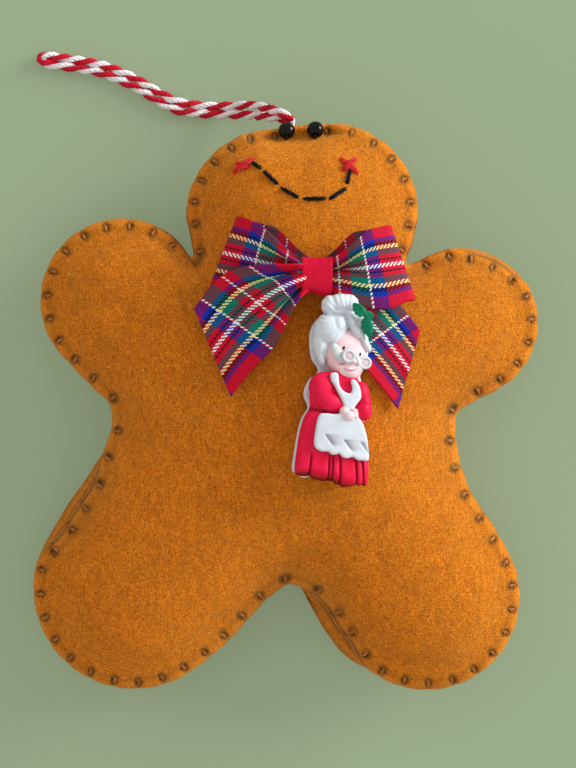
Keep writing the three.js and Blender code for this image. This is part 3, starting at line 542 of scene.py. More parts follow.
INSET, UNDER_FELT = 1.3, 1.35
sewn = [seam[n] - outward[n] * INSET for n in range(0, COLUMNS, 4)]
bag = bmesh.new()
for down in (True, False):
    had = set(bag.verts)
    rings(bag, sewn, [1 - 0.065 * k for k in range(1, 15)], CHEST)
    for vert in (v for v in bag.verts if v not in had):
        far, n, _ = from_edge(vert.co)
        inside = vert.co - outward[n] * 1.1 * max(0, 1 - far / 9)
        lift = height_of(front_solid if down else back_solid, inside, down) - SEAM
        lift -= UNDER_FELT if down else -UNDER_FELT
        vert.co.z = SEAM + lift * smooth(far, INSET, 2.8)
bmesh.ops.remove_doubles(bag, verts=bag.verts, dist=0.01)
bmesh.ops.recalc_face_normals(bag, faces=bag.faces)
print("bag", len(bag.faces), "faces")

# %% [markdown]
# Cloth in Blender behaves as cloth does at the size of a cushion, so the bag is simulated ten times as large.
# It is remeshed into even squares first, its sewn edge is pinned, and no point may move far.

# %% Swelling the bag
SIZE, FURTHEST = 0.01, 0.8
bag_mesh = as_mesh("bag", bag)
bag_mesh.transform(Matrix.Scale(SIZE, 4))
bag = squared(bag_mesh, 1.5 * SIZE)
bmesh.ops.smooth_vert(bag, verts=bag.verts, factor=0.5, use_axis_x=True, use_axis_y=True, use_axis_z=True)
rest = [v.co.copy() for v in bag.verts]
bag_mesh = as_mesh("bag", bag)
holder = bpy.data.objects.new("bag", bag_mesh)
scene.collection.objects.link(holder)
pins = holder.vertex_groups.new(name="sewn")
pins.add([n for n, co in enumerate(rest) if from_edge(co / SIZE)[0] < 2.3], 1, "REPLACE")
pins.add([n for n, co in enumerate(rest) if co.z < 0.4 * SIZE], 1, "REPLACE")
cloth = holder.modifiers.new("cloth", "CLOTH")
cloth.settings.mass, cloth.settings.quality = 0.02, 4
cloth.settings.use_pressure, cloth.settings.uniform_pressure_force = True, 4
cloth.settings.effector_weights.gravity = 0
cloth.settings.vertex_group_mass = "sewn"
for step in range(1, 21):
    scene.frame_set(step)
swollen = holder.evaluated_get(bpy.context.evaluated_depsgraph_get()).to_mesh()
bag = bmesh.new()
bag.from_mesh(swollen)
moved = []
for vert, start in zip(bag.verts, rest):
    move = vert.co - start
    moved.append(move.length / SIZE)
    vert.co = start + move * min(1, FURTHEST * SIZE / max(move.length, 1e-9))
print("cloth moved by", round(sum(moved) / len(moved), 2), "mm, at most", round(max(moved), 2))
bpy.data.objects.remove(holder)
bpy.data.meshes.remove(bag_mesh)
scene.frame_set(1)
bmesh.ops.scale(bag, vec=[1 / SIZE] * 3, verts=bag.verts)
bag_skin = BVHTree.FromBMesh(bag)
print("stuffed bag", len(bag.faces), "faces,", round(max(v.co.z for v in bag.verts), 2), "mm high")
bag.free()

# %% [markdown]
# Each panel is a sheet of rings from the seam to the chest, close together near the edge where the stitches
# pull the felt in, with a second sheet under it. Bridging the two rims closes the panel. The edge is
# scalloped, because every stitch draws it in a little.

# %% The felt panels
FELT = 1.2
CLOSE = [0.25, 0.5, 0.8, 1.1, 1.4, 1.7, 2, 2.3, 2.6, 3, 3.5, 4.1, 4.8, 5.6, 6.6, 8]
WIDER = [9.6, 11.5, 13.6, 16, 18.6, 21.5, 24.6, 28, 31.5, 35, 38.5, 41.5, 44.5, 47, 49]
SHARES = [1 - far / 50 for far in CLOSE + WIDER]


def skin(spot, down):
    """How far the stuffed bag stands from the seam at a place."""
    hit = bag_skin.ray_cast(*ray(spot, down))[0]
    return abs(hit.z - SEAM) if hit else 0


def swell(spot, far, n, down):
    """How far the stuffing lifts the felt: a cushion's round side near the edge, and the bag further in."""
    bag_here = skin(spot, down)
    if far >= 5:
        return bag_here
    cushion = skin(spot - outward[n] * (5 - far), down) * (far / 5) ** 0.6
    flat = 1 - smooth((spot.xy - BETWEEN_EYES).length, 4.5, 9) if down else 0
    return cushion + (bag_here - cushion) * flat


def sewn_edge(far, to_stitch):
    """The felt's height over the seam near its edge: a round lip, pitted and grooved at each stitch."""
    lip = 0.45 + (FELT - 0.45) * math.sqrt(1 - (1 - min(far / 0.9, 1)) ** 2)
    hole = 0.75 * math.exp(-((to_stitch / 0.6) ** 2) - ((far - 1.65) / 0.7) ** 2)
    valley = 0.14 * math.exp(-((to_stitch / 0.42) ** 2)) * (1 - smooth(far, 1.2, 1.9))
    puff = 0.25 * (1 - math.exp(-((to_stitch / 1.2) ** 2))) * math.exp(-(((far - 1.1) / 0.9) ** 2))
    return max(0.08, lip - hole - valley + puff)


def panel(down):
    """One felt panel, the front one seen from above or the back one from below."""
    shape = bmesh.new()
    dent_and_painted_shade = shape.verts.layers.float.new("dent_and_painted_shade")
    outer = rings(shape, seam, SHARES, CHEST)
    inner_start = len(shape.verts)
    inner = rings(shape, seam, SHARES[3::4], CHEST)
    shape.verts.index_update()
    for vert in shape.verts:
        far, n, to_stitch = from_edge(vert.co)
        if not down:
            to_stitch += (PITCH / 2 - to_stitch) * smooth(proud[n], 0.02, 0.3)
        # Painted shade and light for the finish: dark rings round the stitch holes, a painted shadow of the
        # front's lip on the back's strip where the seam is drawn in, dark lines from the holes to the edge and
        # along the stitches, and painted light on the puffs between stitches.
        pit_shade = 1 - smooth(math.hypot(to_stitch, (far - 1.65) / 1.25), 0.55, 1.2)
        crease = 0.8 * min(1, drawn[n]) * math.exp(-(((far - 0.3) / 0.35) ** 2))
        notch_shade = 0.5 * math.exp(-((to_stitch / 0.3) ** 2)) * (1 - smooth(far, 1.2, 1.8))
        line = 0.2 * math.exp(-(((far - 2) / 0.6) ** 2))
        puff = (1 - math.exp(-((to_stitch / 1.1) ** 2))) * math.exp(-(((far - 0.6) / 0.6) ** 2))
        vert[dent_and_painted_shade] = max(pit_shade, crease, notch_shade, line) - 0.25 * puff * (1 - crease)
        lift = sewn_edge(far, to_stitch) + swell(vert.co, far, n, down)
        if vert.index >= inner_start:
            lift = max(0.06, lift - FELT + 0.05)
        move = -0.1 * (0.5 + 0.5 * math.cos(math.tau * to_stitch / PITCH)) ** 2 * math.exp(-far / 1.1)
        if not down:
            bulge = proud[n] * math.sin(min(1, far / 3) * math.pi / 2) + far * fuller[n]
            move += bulge * (1 - smooth(far, 3, 9))
        vert.co += outward[n] * move
        if down:
            vert.co.z = SEAM + lift + 0.05
        else:
            vert.co.z = max(SEAM - lift - 0.05, 0.0 if vert.index < inner_start else 1.1)
    bmesh.ops.bridge_loops(shape, edges=outer + inner)
    bmesh.ops.recalc_face_normals(shape, faces=shape.faces)
    return shape


front_felt = piece("front_felt", panel(True), "felt", "felt_body", "front_panel")
back_felt = piece("back_felt", panel(False), "felt", "felt_body", "back_panel")
front_skin = BVHTree.FromObject(front_felt, bpy.context.evaluated_depsgraph_get())
back_skin = BVHTree.FromObject(back_felt, bpy.context.evaluated_depsgraph_get())


def on_felt(x, y, lift=0.0):
    """A point on the front felt at a place, lifted by some millimetres."""
    start, way = ray(Vector((x, y)), True)
    hit = front_skin.ray_cast(start * MM, way)[0]
    return Vector((x, y, (hit.z / MM if hit else SEAM) + lift))


# %% [markdown]
# ## Stuffing
#
# Polyester fibrefill is pushed in by the wad: one for the head, the torso and each limb. It can't be seen
# while the seam is closed. Each wad starts from its solid, is remeshed into small squares, and is made
# woolly by moving every point along its normal by a noise.

# %% Fibrefill wads
for wad in ("torso", "head", "left_arm", "right_arm", "left_leg", "right_leg"):
    wool = squared(bpy.data.objects["stuffing_" + wad].data.copy(), 1.3 * MM)
    bmesh.ops.scale(wool, vec=[1 / MM] * 3, verts=wool.verts)
    wool.normal_update()
    for vert in wool.verts:
        far, n, _ = from_edge(vert.co)
        vert.co -= outward[n] * (drawn[n] + flatter[n]) * 1.3 * max(0, 1 - far / 14)
        vert.co += vert.normal * (0.6 * noise.fractal(vert.co * 0.35, 0.8, 2.1, 3) - 0.35)
    piece("fibrefill_" + wad, wool, "fibrefill", "felt_body", "stuffing_" + wad)

# %% [markdown]
# ## Stitching round the edge
#
# Brown thread binds the two panels with a blanket stitch: at each step it comes out of a hole a little way
# in, runs over the edge and through to the back, and lies along the edge to the next one. The thread sinks
# into the soft felt, so that mainly a short nub shows at each hole.

# %% Blanket stitch
def beside(n, far, lift):
    """A point by the edge: so far inside edge point n, and so high over the seam."""
    spot = seam[n % COLUMNS] - outward[n % COLUMNS] * far
    return Vector((spot.x, spot.y, SEAM + lift))


def nub(n, down):
    """A nub of thread from its hole towards the edge, on the front felt or under the back one."""
    line = []
    for far, lift in ((2.2, -0.5), (2.05, 0.0), (1.8, 0.27), (1.52, 0.27), (1.27, 0.0), (1.1, -0.35)):
        start, way = ray(beside(n, far, 0), down)
        hit = (front_skin if down else back_skin).ray_cast(start * MM, way)[0]
        high = abs(hit.z / MM - SEAM) if hit else 1
        line.append(beside(n, far, (high + lift) * (1 if down else -1)))
    return line


stitch_lines = []
dice = random.Random(11)
for k, n in enumerate(at_stitch):
    if k in bare:
        continue
    line = nub(n, True) + [beside(n, 0.66, 0.4), beside(n, 0.6, 0)]
    if proud[n] < 0.1:
        line += [beside(n, 0.66, -0.4)] + list(reversed(nub(n, False)))
    stitch_lines += [(strand, 0.21, 0) for strand in twisted(flow(line, 3), 2, 0.16, 1.9, dice.uniform(0, 3))]
for a, b in zip(at_stitch, at_stitch[1:] + at_stitch[:1]):
    steps = (b - a) % COLUMNS
    run = []
    for k in range(0, steps + 1, 2):
        shown = min(1, drawn[(a + k) % COLUMNS])
        run.append(beside(a + k, 0.55 - 0.6 * shown, 0.3 * shown))
    stitch_lines.append((run, 0.15, 1))
piece("edge_thread", threads(stitch_lines), ["brown_thread", "brown_thread.painted_light"], "felt_body",
      "edge_stitching")

# %% [markdown]
# ## Hanging cord
#
# The hanger is a thin twine of a red and a white ply, folded into a long narrow loop that lies on the table
# to the left of the head. It leaves the seam at the top of the head, comes down to the table, and goes
# back. Each ply is four yarns, wound about the ply's own line, and the two plies wind about the twine's
# line. Handling has made the twist uneven, so the places where the red ply comes up are listed.

# %% Twine
ROUTE = [(1.1, 54.5, 12), (0.4, 55, 12.2), (-1.4, 56.07, 11.2), (-3.2, 56.85, 9.3), (-5.2, 57.65, 6.9),
         (-7.3, 58.1, 4.5), (-9.71, 58.28, 2.33), (-12.01, 58.32, 1.45), (-14.31, 58.35, 0.93),
         (-16.73, 58.55, 0.83), (-19.07, 58.8, 0.9), (-21.32, 59.35, 0.95), (-23.45, 60.37, 0.95),
         (-25.57, 61.6, 0.95), (-27.75, 62.93, 0.95), (-29.96, 64.06, 0.95), (-32.19, 65.07, 0.95),
         (-34.51, 65.97, 0.95), (-36.92, 66.64, 0.95), (-39.33, 67.14, 0.95), (-41.74, 67.53, 0.95),
         (-44.14, 67.9, 0.95), (-46.51, 68.29, 0.95), (-47.16, 68.22, 0.95), (-47.62, 67.67, 0.95),
         (-47.38, 67, 0.95), (-46.79, 66.7, 0.95), (-44.37, 66.33, 0.95), (-41.97, 66, 0.95),
         (-39.58, 65.64, 0.95), (-37.24, 65.2, 0.95), (-34.98, 64.56, 0.95), (-32.77, 63.72, 0.95),
         (-30.58, 62.73, 0.95), (-28.39, 61.61, 0.95), (-26.27, 60.3, 0.95), (-24.11, 59.04, 0.95),
         (-21.79, 57.84, 0.95), (-19.32, 57.25, 0.9), (-16.86, 57.03, 0.83), (-14.44, 56.87, 0.93),
         (-12.02, 56.74, 1.45), (-9.81, 56.61, 2.33), (-7.72, 56.38, 3.51), (-5.97, 56.06, 5.12),
         (-4.52, 55.78, 6.94), (-3.07, 55.41, 8.4), (-1.3, 54.97, 9.61), (0.85, 54.6, 10.2)]
TWINE = 1.5
RED_UP = [0.3, 6.1, 12.1, 18.6, 24.6, 30.7, 36.2, 41.6, 46.5, 51.6,
          56.7, 63.3, 69.1, 74.6, 80, 86.3, 91.5, 97.7, 104]
twine_line, TWINE_LENGTH = even(flow(ROUTE, 6), 420)


def wound(run):
    """The turns of the plies after a run of twine, so that the red one comes up at each of the runs above."""
    n = max(0, min(len(RED_UP) - 2, sum(mark < run for mark in RED_UP) - 1))
    return -n - (run - RED_UP[n]) / (RED_UP[n + 1] - RED_UP[n])


def plies(line, turns, start=0.0):
    """A red and a white ply of four yarns each, wound about a line."""
    lines = []
    for number, ply in enumerate(twisted(line, 2, 0.27 * TWINE, turns, start)):
        lines += [(strand, 0.21 * TWINE, number) for strand in twisted(ply, 4, 0.18 * TWINE, 3.4)]
    return threads(lines, 0)


hanger = piece("hanging_twine", plies(twine_line, wound, 2.3), ["twine", "twine.white"], "hanger",
               "hanger_loop")
twine_line[0] * MM
TWINE_LENGTH * MM
[spot * MM for spot in twine_line[::4]]
print("twine", round(TWINE_LENGTH, 1), "mm long")

# %% [markdown]
# Inside the head the two ends of the twine are tied in a knot, which keeps them from pulling out of the seam.
# Its ends come up to the hole, so that the loop stays joined to them when it swings.

# %% Knot in the seam
tie = [(0.85, 54.6, 12.0), (0.7, 51.5, 11.9), (0.3, 48.6, 12.3), (1.9, 46.6, 11.6), (2.1, 48.3, 9.9),
       (0.2, 48.5, 10), (-0.2, 46.4, 11.4), (1.4, 45.6, 12.3), (2.3, 47.6, 12), (1.2, 49.3, 11.3),
       (0.9, 51.5, 10.5), (0.85, 54.6, 10.3)]
piece("twine_knot", plies(flow(tie, 10), -5), ["twine", "twine.white"], "felt_body", "hanger_knot")

# %% [markdown]
# ## Bead eyes
#
# The eyes are black glass beads with a bored hole, sewn close under the edge of the head with black thread. A
# bead is turned, so it is spun from half its outline: a round back, and the straight wall of the bore.

# %% Glass beads
def glass_look(place, cloth):
    smears = grains(place, 700, 2)
    return {"Base Color": blended(smears, ink(4, 4, 5), ink(12, 11, 13)), "Roughness": smears * 0.1 + 0.08}


finish("bead", {"IOR": 1.45, "Specular IOR Level": 0.28}, glass_look)
BEAD, BORE = 1.6, 0.45
for side in ("left", "right"):
    start = math.asin(BORE / BEAD) + 0.05
    angles = [start + (math.pi - 2 * start) * k / 20 for k in range(21)]
    round_back = [(BEAD * math.sin(a), BEAD * math.cos(a)) for a in angles]
    lip = round_back[0][1] - 0.12
    bead = spun(round_back + [(BORE, -lip), (BORE, lip)], 40)
    place = at_joint("eye_" + side)
    piece("bead_" + side, bead, "bead", "eye_" + side, "eye_bead_" + side, place=place)
    c, a = place.translation, place.col[2].xyz
    sewn_through = [
        on_felt(c.x, c.y - 1.75, -0.6), c - a * (BEAD + 0.2) - Vector((0, 0.35, 0.75)), c - a * (BEAD + 0.1),
        c - a * 0.8, c + a * 0.8, c + a * (BEAD + 0.14), c + a * (BEAD + 0.5) - Vector((0, 0, 0.6)),
    ]
    line = flow(sewn_through, 5)
    floss = threads([(strand, 0.13, 0) for strand in twisted(line, 2, 0.1, 1.4)])
    piece("bead_thread_" + side, floss, "black_floss", "felt_body", "eye_thread_" + side)

# %% [markdown]
# ## Stitched face
#
# The mouth is six running stitches of black floss, and each cheek is a cross of red floss. Floss is a few
# soft strands that lie side by side. Each stitch follows the felt, stands a little on it, and dives in at
# both ends.

# %% Floss stitches
MOUTH = [((-6.3, 45.76), (-4.67, 44.62)), ((-3.98, 43.97), (-1.54, 41.52)), ((-0.82, 40.77), (2.36, 38.99)),
         ((3.35, 38.69), (7.35, 38.75)), ((8.24, 38.69), (11.2, 40.72)), ((11.44, 41.67), (12.15, 44.47))]
CHEEKS = {"left_cheek_under": ((-9.3, 45.7), (-6.9, 44.75), 0.0),
          "left_cheek_over": ((-9.88, 43.78), (-5.97, 46.64), 0.5),
          "right_cheek_under": ((10.21, 46.66), (13.59, 43.65), 0.0),
          "right_cheek_over": ((10.64, 44.08), (13.22, 46.66), 0.5)}


def stitch(start, end, thick, over=0.0, aside=0.0):
    """The line of a stitch on the felt, higher where it crosses another, and sunk into it at both ends."""
    a, b = Vector(start), Vector(end)
    across = Vector((a.y - b.y, b.x - a.x)).normalized() * aside
    line = []
    for k in range(15):
        t = k / 14
        spot = a.lerp(b, t) + across * math.sin(math.pi * t) ** 0.5
        sink = (2 * t - 1) ** 6
        line.append(on_felt(spot.x, spot.y, thick * (0.55 - 1.3 * sink) + over * math.sin(math.pi * t)))
    return line


for n, (start, end) in enumerate(MOUTH, 1):
    line = stitch(start, end, 0.5)
    strands = [(strand, 0.22, 0) for strand in twisted(line, 3, 0.2, 4.5, n)]
    piece(f"mouth_floss_{n}", threads(strands, 2), "black_floss", "felt_body", f"mouth_stitch_{n}")
for name, (start, end, over) in CHEEKS.items():
    strands = []
    for aside in (-0.24, 0.24):
        line = stitch(start, end, 0.5, over, aside)
        strands += [(strand, 0.19, 0) for strand in twisted(line, 2, 0.13, 3.6, aside)]
    piece(name + "_floss", threads(strands, 2), "red_floss", "felt_body", name + "_stitch")

# %% [markdown]
# ## Ribbon finishes
#
# The bow is a woven tartan ribbon. A place on it has the colour of the warp or the weft thread that is on
# top there. The order of the stripes is the sett: it is mirrored about a white line along the middle, and
# repeats along the length. Each thread passes over two and under two, which gives the slanted dashes of a
# twill; they stand out in the white and yellow threads and run together in the darker ones. Each thread is
# painted lighter on its crown and darker at its sides, as painted highlight and shade. The ribbon's own UV
# map is in millimetres along and across it, and an attribute tells how deep in the folds a place lies, where
# the finish paints shade by darkening the colour.

# %% Tartan and band
def yarn(red, green, blue, clear=0.3):
    """A thread's colour as the eye mixes it, and how clear it stands out from the threads that it crosses."""
    return (red / 255, green / 255, blue / 255, clear)


RED, BLUE, BLACK, GREEN = yarn(212, 6, 50), yarn(14, 50, 176), yarn(8, 5, 18, 0.6), yarn(0, 124, 108)
YELLOW, WHITE = yarn(254, 240, 160, 1), yarn(252, 252, 254, 1)
WARP = [(2, WHITE), (3, RED), (2, BLACK), (4, RED), (6, GREEN), (4, YELLOW), (4, BLACK), (4, BLUE), (11, RED)]
WEFT = [(20, RED), (13, BLUE), (2, WHITE), (16, GREEN), (10, RED), (2, WHITE), (10, RED), (16, GREEN),
        (2, WHITE), (13, BLUE), (20, RED)]
YARN = 0.2


def stripes(share, sett, out="Color"):
    """The colour of a thread at a share of the sett, or how clear it stands out from those it crosses."""
    whole, run, stops = sum(count for count, _ in sett), 0, []
    for count, colour in sett:
        stops.append((run / whole, colour))
        run += count
    return share.node("ValToRGB", {"stops": stops}, {0: share}, out)


def tartan_look(place, cloth):
    along, across = [cloth.node("SeparateXYZ", {}, {0: cloth}, axis) / YARN for axis in ("X", "Y")]
    weft, warp = along.sum("FLOOR", along), across.sum("FLOOR", across)
    middle = (warp + 0.5) / sum(count for count, _ in WARP)
    middle = middle.sum("ABSOLUTE", middle)
    repeat = (weft + 0.5) / sum(count for count, _ in WEFT)
    repeat = repeat.sum("FRACT", repeat)
    twill = (weft + warp) * 0.25
    on_top = between(twill.sum("FRACT", twill), 0.3, 0.45)
    clear = on_top.sum("MAXIMUM", stripes(middle, WARP, "Alpha"), stripes(repeat, WEFT, "Alpha"))
    colour = blended((on_top - 0.5) * clear + 0.5, stripes(middle, WARP), stripes(repeat, WEFT))
    colour = colour.node("Gamma", {}, {"Color": colour, "Gamma": 2.2})
    hollow = [wire.sum("FRACT", wire) - 0.5 for wire in (along, across)]
    pillow = (1 - hollow[0] * hollow[0] * 4) * (1 - hollow[1] * hollow[1] * 4)
    fluff = grains(place, 2600, 2)
    fold_and_painted_shade = marked(place, "fold_and_painted_shade")
    return {
        # Painted shade: each thread is lighter on its crown and darker at its sides, and darker still deep in
        # the folds.
        "Base Color": shaded(colour, (pillow * 0.5 + fluff * 0.3 + 0.58) * (1 - fold_and_painted_shade * 0.95)),
        "Normal": bumps(pillow, 0.06, 0.5),
        "Roughness": fluff * 0.2 + 0.5,
    }


def band_look(place, cloth):
    floats = grains(turned(place, 0, (0.6, 1, 1)), 4200, 2)
    glow = grains(place, 260, 2)
    lit = between(floats * 0.7 + glow * 0.3, 0.32, 0.68)
    return {
        "Base Color": blended(lit, ink(206, 6, 46), ink(240, 16, 66)),
        "Normal": bumps(floats, 0.05, 0.4),
        "Roughness": glow * 0.2 + 0.45,
    }


woven = {"Specular IOR Level": 0.15, "Sheen Weight": 0.03, "Sheen Roughness": 0.4}
finish("tartan", woven, tartan_look)
finish("satin", woven, band_look)

# %% [markdown]
# ## Bow
#
# The bow is four free lengths of ribbon, gathered in the middle under a band: two loops and two tails. Each
# one is a flat grid that is bent into place by a formula, because the folds are wanted just so: near the
# band the width is pressed into pleats, and further out it opens to its full width. A Solidify modifier
# gives the cloth its thickness afterwards.

# %% Ribbon shapes
BAND = Vector((5.748, 24.17))
BAND_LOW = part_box("bow_band")[0].z / MM
HALF = 8.0
BACK_LEVEL = 1.45


def under_bow(spot):
    """The height that the bow rests on: the band's foot in the middle, falling away with the body's curve."""
    away = max(0, (spot - BAND).length - 5.6)
    return max(BAND_LOW - away * away / 166, on_felt(spot.x, spot.y).z + 0.4)


def gathered(v, tight):
    """A place across the ribbon, moved towards the crests of its pleats."""
    return v + tight / math.tau * math.sin(math.tau * v)


def loop_shape(side, end, half, opening, pleat, tuck, drop, sag):
    """A loop of the bow as a formula of the share along it and the place across it."""
    start = BAND + Vector((side * 0.3, 0))
    ahead = (end - start).normalized()
    far = (end - start).length - 1.2

    def upper(part, v):
        rise = 2.5 + (2.6 * part + 3.0 * math.sin(0.9 * math.pi * part)) * opening(v)
        return rise + pleat(part, v)

    def place(t, v):
        turn = (t - 0.5) / 0.05
        fold_and_painted_shade = max(-1, min(1, turn))
        part = min(1, 1 - max(0, abs(turn) - 1) / 9)
        top = smooth(fold_and_painted_shade, -1, 1)
        narrow = 2.5 if turn > 0 else 3.1
        wide = narrow + (half.length - narrow) * smooth(part, 0.02, 0.85 if turn > 0 else 0.6)
        aim = Vector((0, 1)).lerp(half.normalized(), part)
        out = far * part + 1.2 * math.cos(fold_and_painted_shade * math.pi / 2) * (abs(turn) < 1)
        spot = start + ahead * out + aim * wide * (tuck(part, v) if top else v)
        belly = math.sin(math.pi * part) * top
        spot.y -= belly * (drop * max(0, v) ** 1.5 + sag * max(0, -v) ** 1.5)
        level = BACK_LEVEL * (1 - top) + upper(part, v) * top
        return Vector((spot.x, spot.y, under_bow(spot) + level))

    return place


def tail_shape(side, bend, end, half, level, hold, slow):
    """A tail of the bow as a formula of the share along it and the place across it."""
    start = BAND + Vector((side * 0.3, 0))

    def place(t, v):
        middle = start * (1 - t) ** 2 + bend * 2 * t * (1 - t) + end * t * t
        tight = 1 - smooth(t, 0.05, 0.75)
        wide = Vector((0, 2.5)).lerp(half, smooth(t, 0, 0.62 + slow * max(0, v)))
        spot = middle + wide * gathered(v, 0.45 * tight)
        press = tight * smooth(t, 0.03, 0.16)
        crest = (0.5 + 0.5 * math.cos(math.tau * v)) * (0.2 + 2.3 * press) - 0.9 * press
        seat = under_bow(spot)
        settle = smooth(t, 0.35, 1) * (1 - hold * (v + 1) / 2)
        seat += (on_felt(spot.x, spot.y).z + 0.4 - seat) * settle
        return Vector((spot.x, spot.y, seat + level(t, v) + crest))

    return place


def ribbon(name, node, place, folds, rows, offset, slant=0.0, reverse=False):
    """A length of ribbon: a grid with its UV in millimetres, bent by a formula and given its thickness."""
    middle = [place(k / 60, 0) for k in range(61)]
    length = sum((b - a).length for a, b in zip(middle, middle[1:]))
    cloth = bmesh.new()
    uv, fold_and_painted_shade = cloth.loops.layers.uv.new("cloth"), cloth.verts.layers.float.new("fold_and_painted_shade")
    bmesh.ops.create_grid(cloth, x_segments=rows, y_segments=40, size=1)
    for face in cloth.faces:
        for corner in face.loops:
            x, y = (corner.vert.co.x + 1) / 2, corner.vert.co.y
            along = offset + length * (1 - x if reverse else x) + slant * y * smooth(x, 0, 0.5)
            corner[uv].uv = (along, y * HALF)
    for vert in cloth.verts:
        t, v = (vert.co.x + 1) / 2, vert.co.y
        # Painted shade for the finish: how much the tartan is darkened here.
        vert[fold_and_painted_shade] = folds(t, v)
        vert.co = place(t, v)
    made = piece(name, cloth, "tartan", "felt_body", node)
    wall = made.modifiers.new("wall", "SOLIDIFY")
    wall.thickness, wall.offset = 0.3 * MM, 0
    length * MM


def left_pleat(part, v):
    return 0.8 * (1 - smooth(part, 0.1, 0.7)) * (0.5 + 0.5 * math.cos(3 * math.pi * v + 0.6))


def left_tuck(part, v):
    return gathered(v, 0.75 * (1 - smooth(part, 0, 0.7)))


def right_tuck(part, v):
    """Beside the band the ribbon's middle is tucked out of sight, and the rest is drawn together over it."""
    if v > 0.4:
        packed = 0.16 + (v - 0.4) * 1.4
    else:
        packed = 0.1 + (v + 0.15) * (0.11 if v > -0.15 else 1.29)
    return v + (packed - v) * (1 - smooth(part, 0.12, 0.6))


# Where the tucked middle lies: it sinks the right loop's pleat, and the loop's finish darkens it there as
# painted shade.
def right_crease(part, v):
    return smooth(part, 0, 0.05) * (1 - smooth(part, 0.2, 0.6)) * math.exp(-(((v - 0.12) / 0.42) ** 2))


def right_pleat(part, v):
    crest = math.exp(-(((v + 0.4) / 0.3) ** 2))
    return 0.9 * crest * smooth(part, 0, 0.08) * (1 - smooth(part, 0.2, 0.6)) - 1.1 * right_crease(part, v)


def loop_fold_shade(crease):
    """Painted shade on a loop: its back layer is darkened all over, and its front one in its creases."""
    return lambda t, v: 0.45 * (1 - smooth(t, 0.4, 0.5)) + smooth(t, 0.5, 0.6) * crease((1 - t) / 0.45, v)


# Painted shade in the creases of the left loop's front, near the band.
def left_crease_shade(part, v):
    return (1 - smooth(part, 0.1, 0.55)) * (0.5 - 0.5 * math.cos(3 * math.pi * v + 0.6)) ** 2


# Painted shade in the pleats of a tail near the band.
def tail_fold_shade(t, v):
    return 0.9 * smooth(t, 0.02, 0.06) * (1 - smooth(t, 0.1, 0.42)) * (0.5 - 0.5 * math.cos(math.tau * v)) ** 3


ribbon("bow_loop_left", "bow_left_loop", loop_shape(
    -1, Vector((-11.44, 28.4)), Vector((2.61, 6.6)), lambda v: (1 + v) / 2, left_pleat, left_tuck, 0.9, 0),
    loop_fold_shade(left_crease_shade), 120, 6.2)
ribbon("bow_loop_right", "bow_right_loop", loop_shape(
    1, Vector((21.5, 26.5)), Vector((-2.25, 6.83)), lambda v: 0.8, right_pleat, right_tuck, 0.35, 1.5),
    loop_fold_shade(right_crease), 120, 6.2)
ribbon("bow_tail_left", "bow_left_tail", tail_shape(
    -1, Vector((-5.65, 21.37)), Vector((-13.4, 10.05)), Vector((-3.4, 8.1)),
    lambda t, v: 3.3 + (2.2 + v - 3.3) * t ** 1.5 + 1.5 * math.sin(math.pi * t ** 0.7) * (1 + 0.5 * v),
    1, 0.15),
    tail_fold_shade, 90, 0, 4.7, True)
ribbon("bow_tail_right", "bow_right_tail", tail_shape(
    1, Vector((14.85, 17.87)), Vector((22.8, 6.97)), Vector((2.09, 7.24)),
    lambda t, v: 1.15 + (0.6 - 1.15) * t, 0, 0),
    tail_fold_shade, 90, -1.1, 4.6, True)

# %% [markdown]
# The band is a short red ribbon wrapped over the gathers and sewn at the back. A grid is rolled up into a
# rounded oval, its ends are merged, and Solidify makes it a wall.

# %% Band of the bow
low, high = BAND_LOW, BAND_LOW + 4.9
wrap = bmesh.new()
bmesh.ops.create_grid(wrap, x_segments=72, y_segments=14, size=1)
for vert in wrap.verts:
    around, across = math.pi * vert.co.x, vert.co.y
    y, z = math.cos(around), math.sin(around)
    flare = 1 + 0.03 * across ** 4
    hang = 0.4 * math.sin(2.4 * across) * abs(min(0, y)) ** 0.5
    vert.co = (BAND.x + 2.8 * across * (1 + 0.03 * y),
               BAND.y + 3.4 * flare * math.copysign(abs(y) ** 0.5, y) - hang,
               (low + high) / 2 + (high - low) / 2 * flare * math.copysign(abs(z) ** 0.6, z))
bmesh.ops.remove_doubles(wrap, verts=wrap.verts, dist=0.01)
bmesh.ops.recalc_face_normals(wrap, faces=wrap.faces)
band = piece("bow_wrap", wrap, "satin", "felt_body", "bow_band")
wall = band.modifiers.new("wall", "SOLIDIFY")
wall.thickness, wall.offset = 0.4 * MM, -1

# %% [markdown]
# ## Moulded figure
#
# A little grandmother of soft plastic hangs under the bow on a push-in plug, and can be turned a little.
# Such figures are moulded in relief: a flat back, and rounded forms that melt into each other. So each part
# is put together from flattened balls and cushioned plates, joined by a voxel remesh, and smoothed. All of
# it is in the figure's own frame: u to the right, v up and w out of the felt.

# %% Plastic finishes and shaping helpers
def plastic_look(dark, light, deep=None):
    def look(place, cloth):
        haze = grains(place, 330, 3, 0.6)
        peel = grains(place, 1500, 2)
        dent_and_painted_shade = marked(place, "dent_and_painted_shade")
        return {
            # Where the mesh's attribute is set, a darker colour is blended in as painted shade: the third one
            # given, or else the dark one.
            "Base Color": blended(dent_and_painted_shade, blended(between(haze, 0.3, 0.7), dark, light), deep or dark),
            "Normal": bumps(peel, 0.05, 0.35),
            "Roughness": haze * 0.25 + 0.38,
        }

    return look


moulded = {"Specular IOR Level": 0.18}
finish("charm_black", moulded, plastic_look(ink(12, 11, 12), ink(26, 24, 26)))
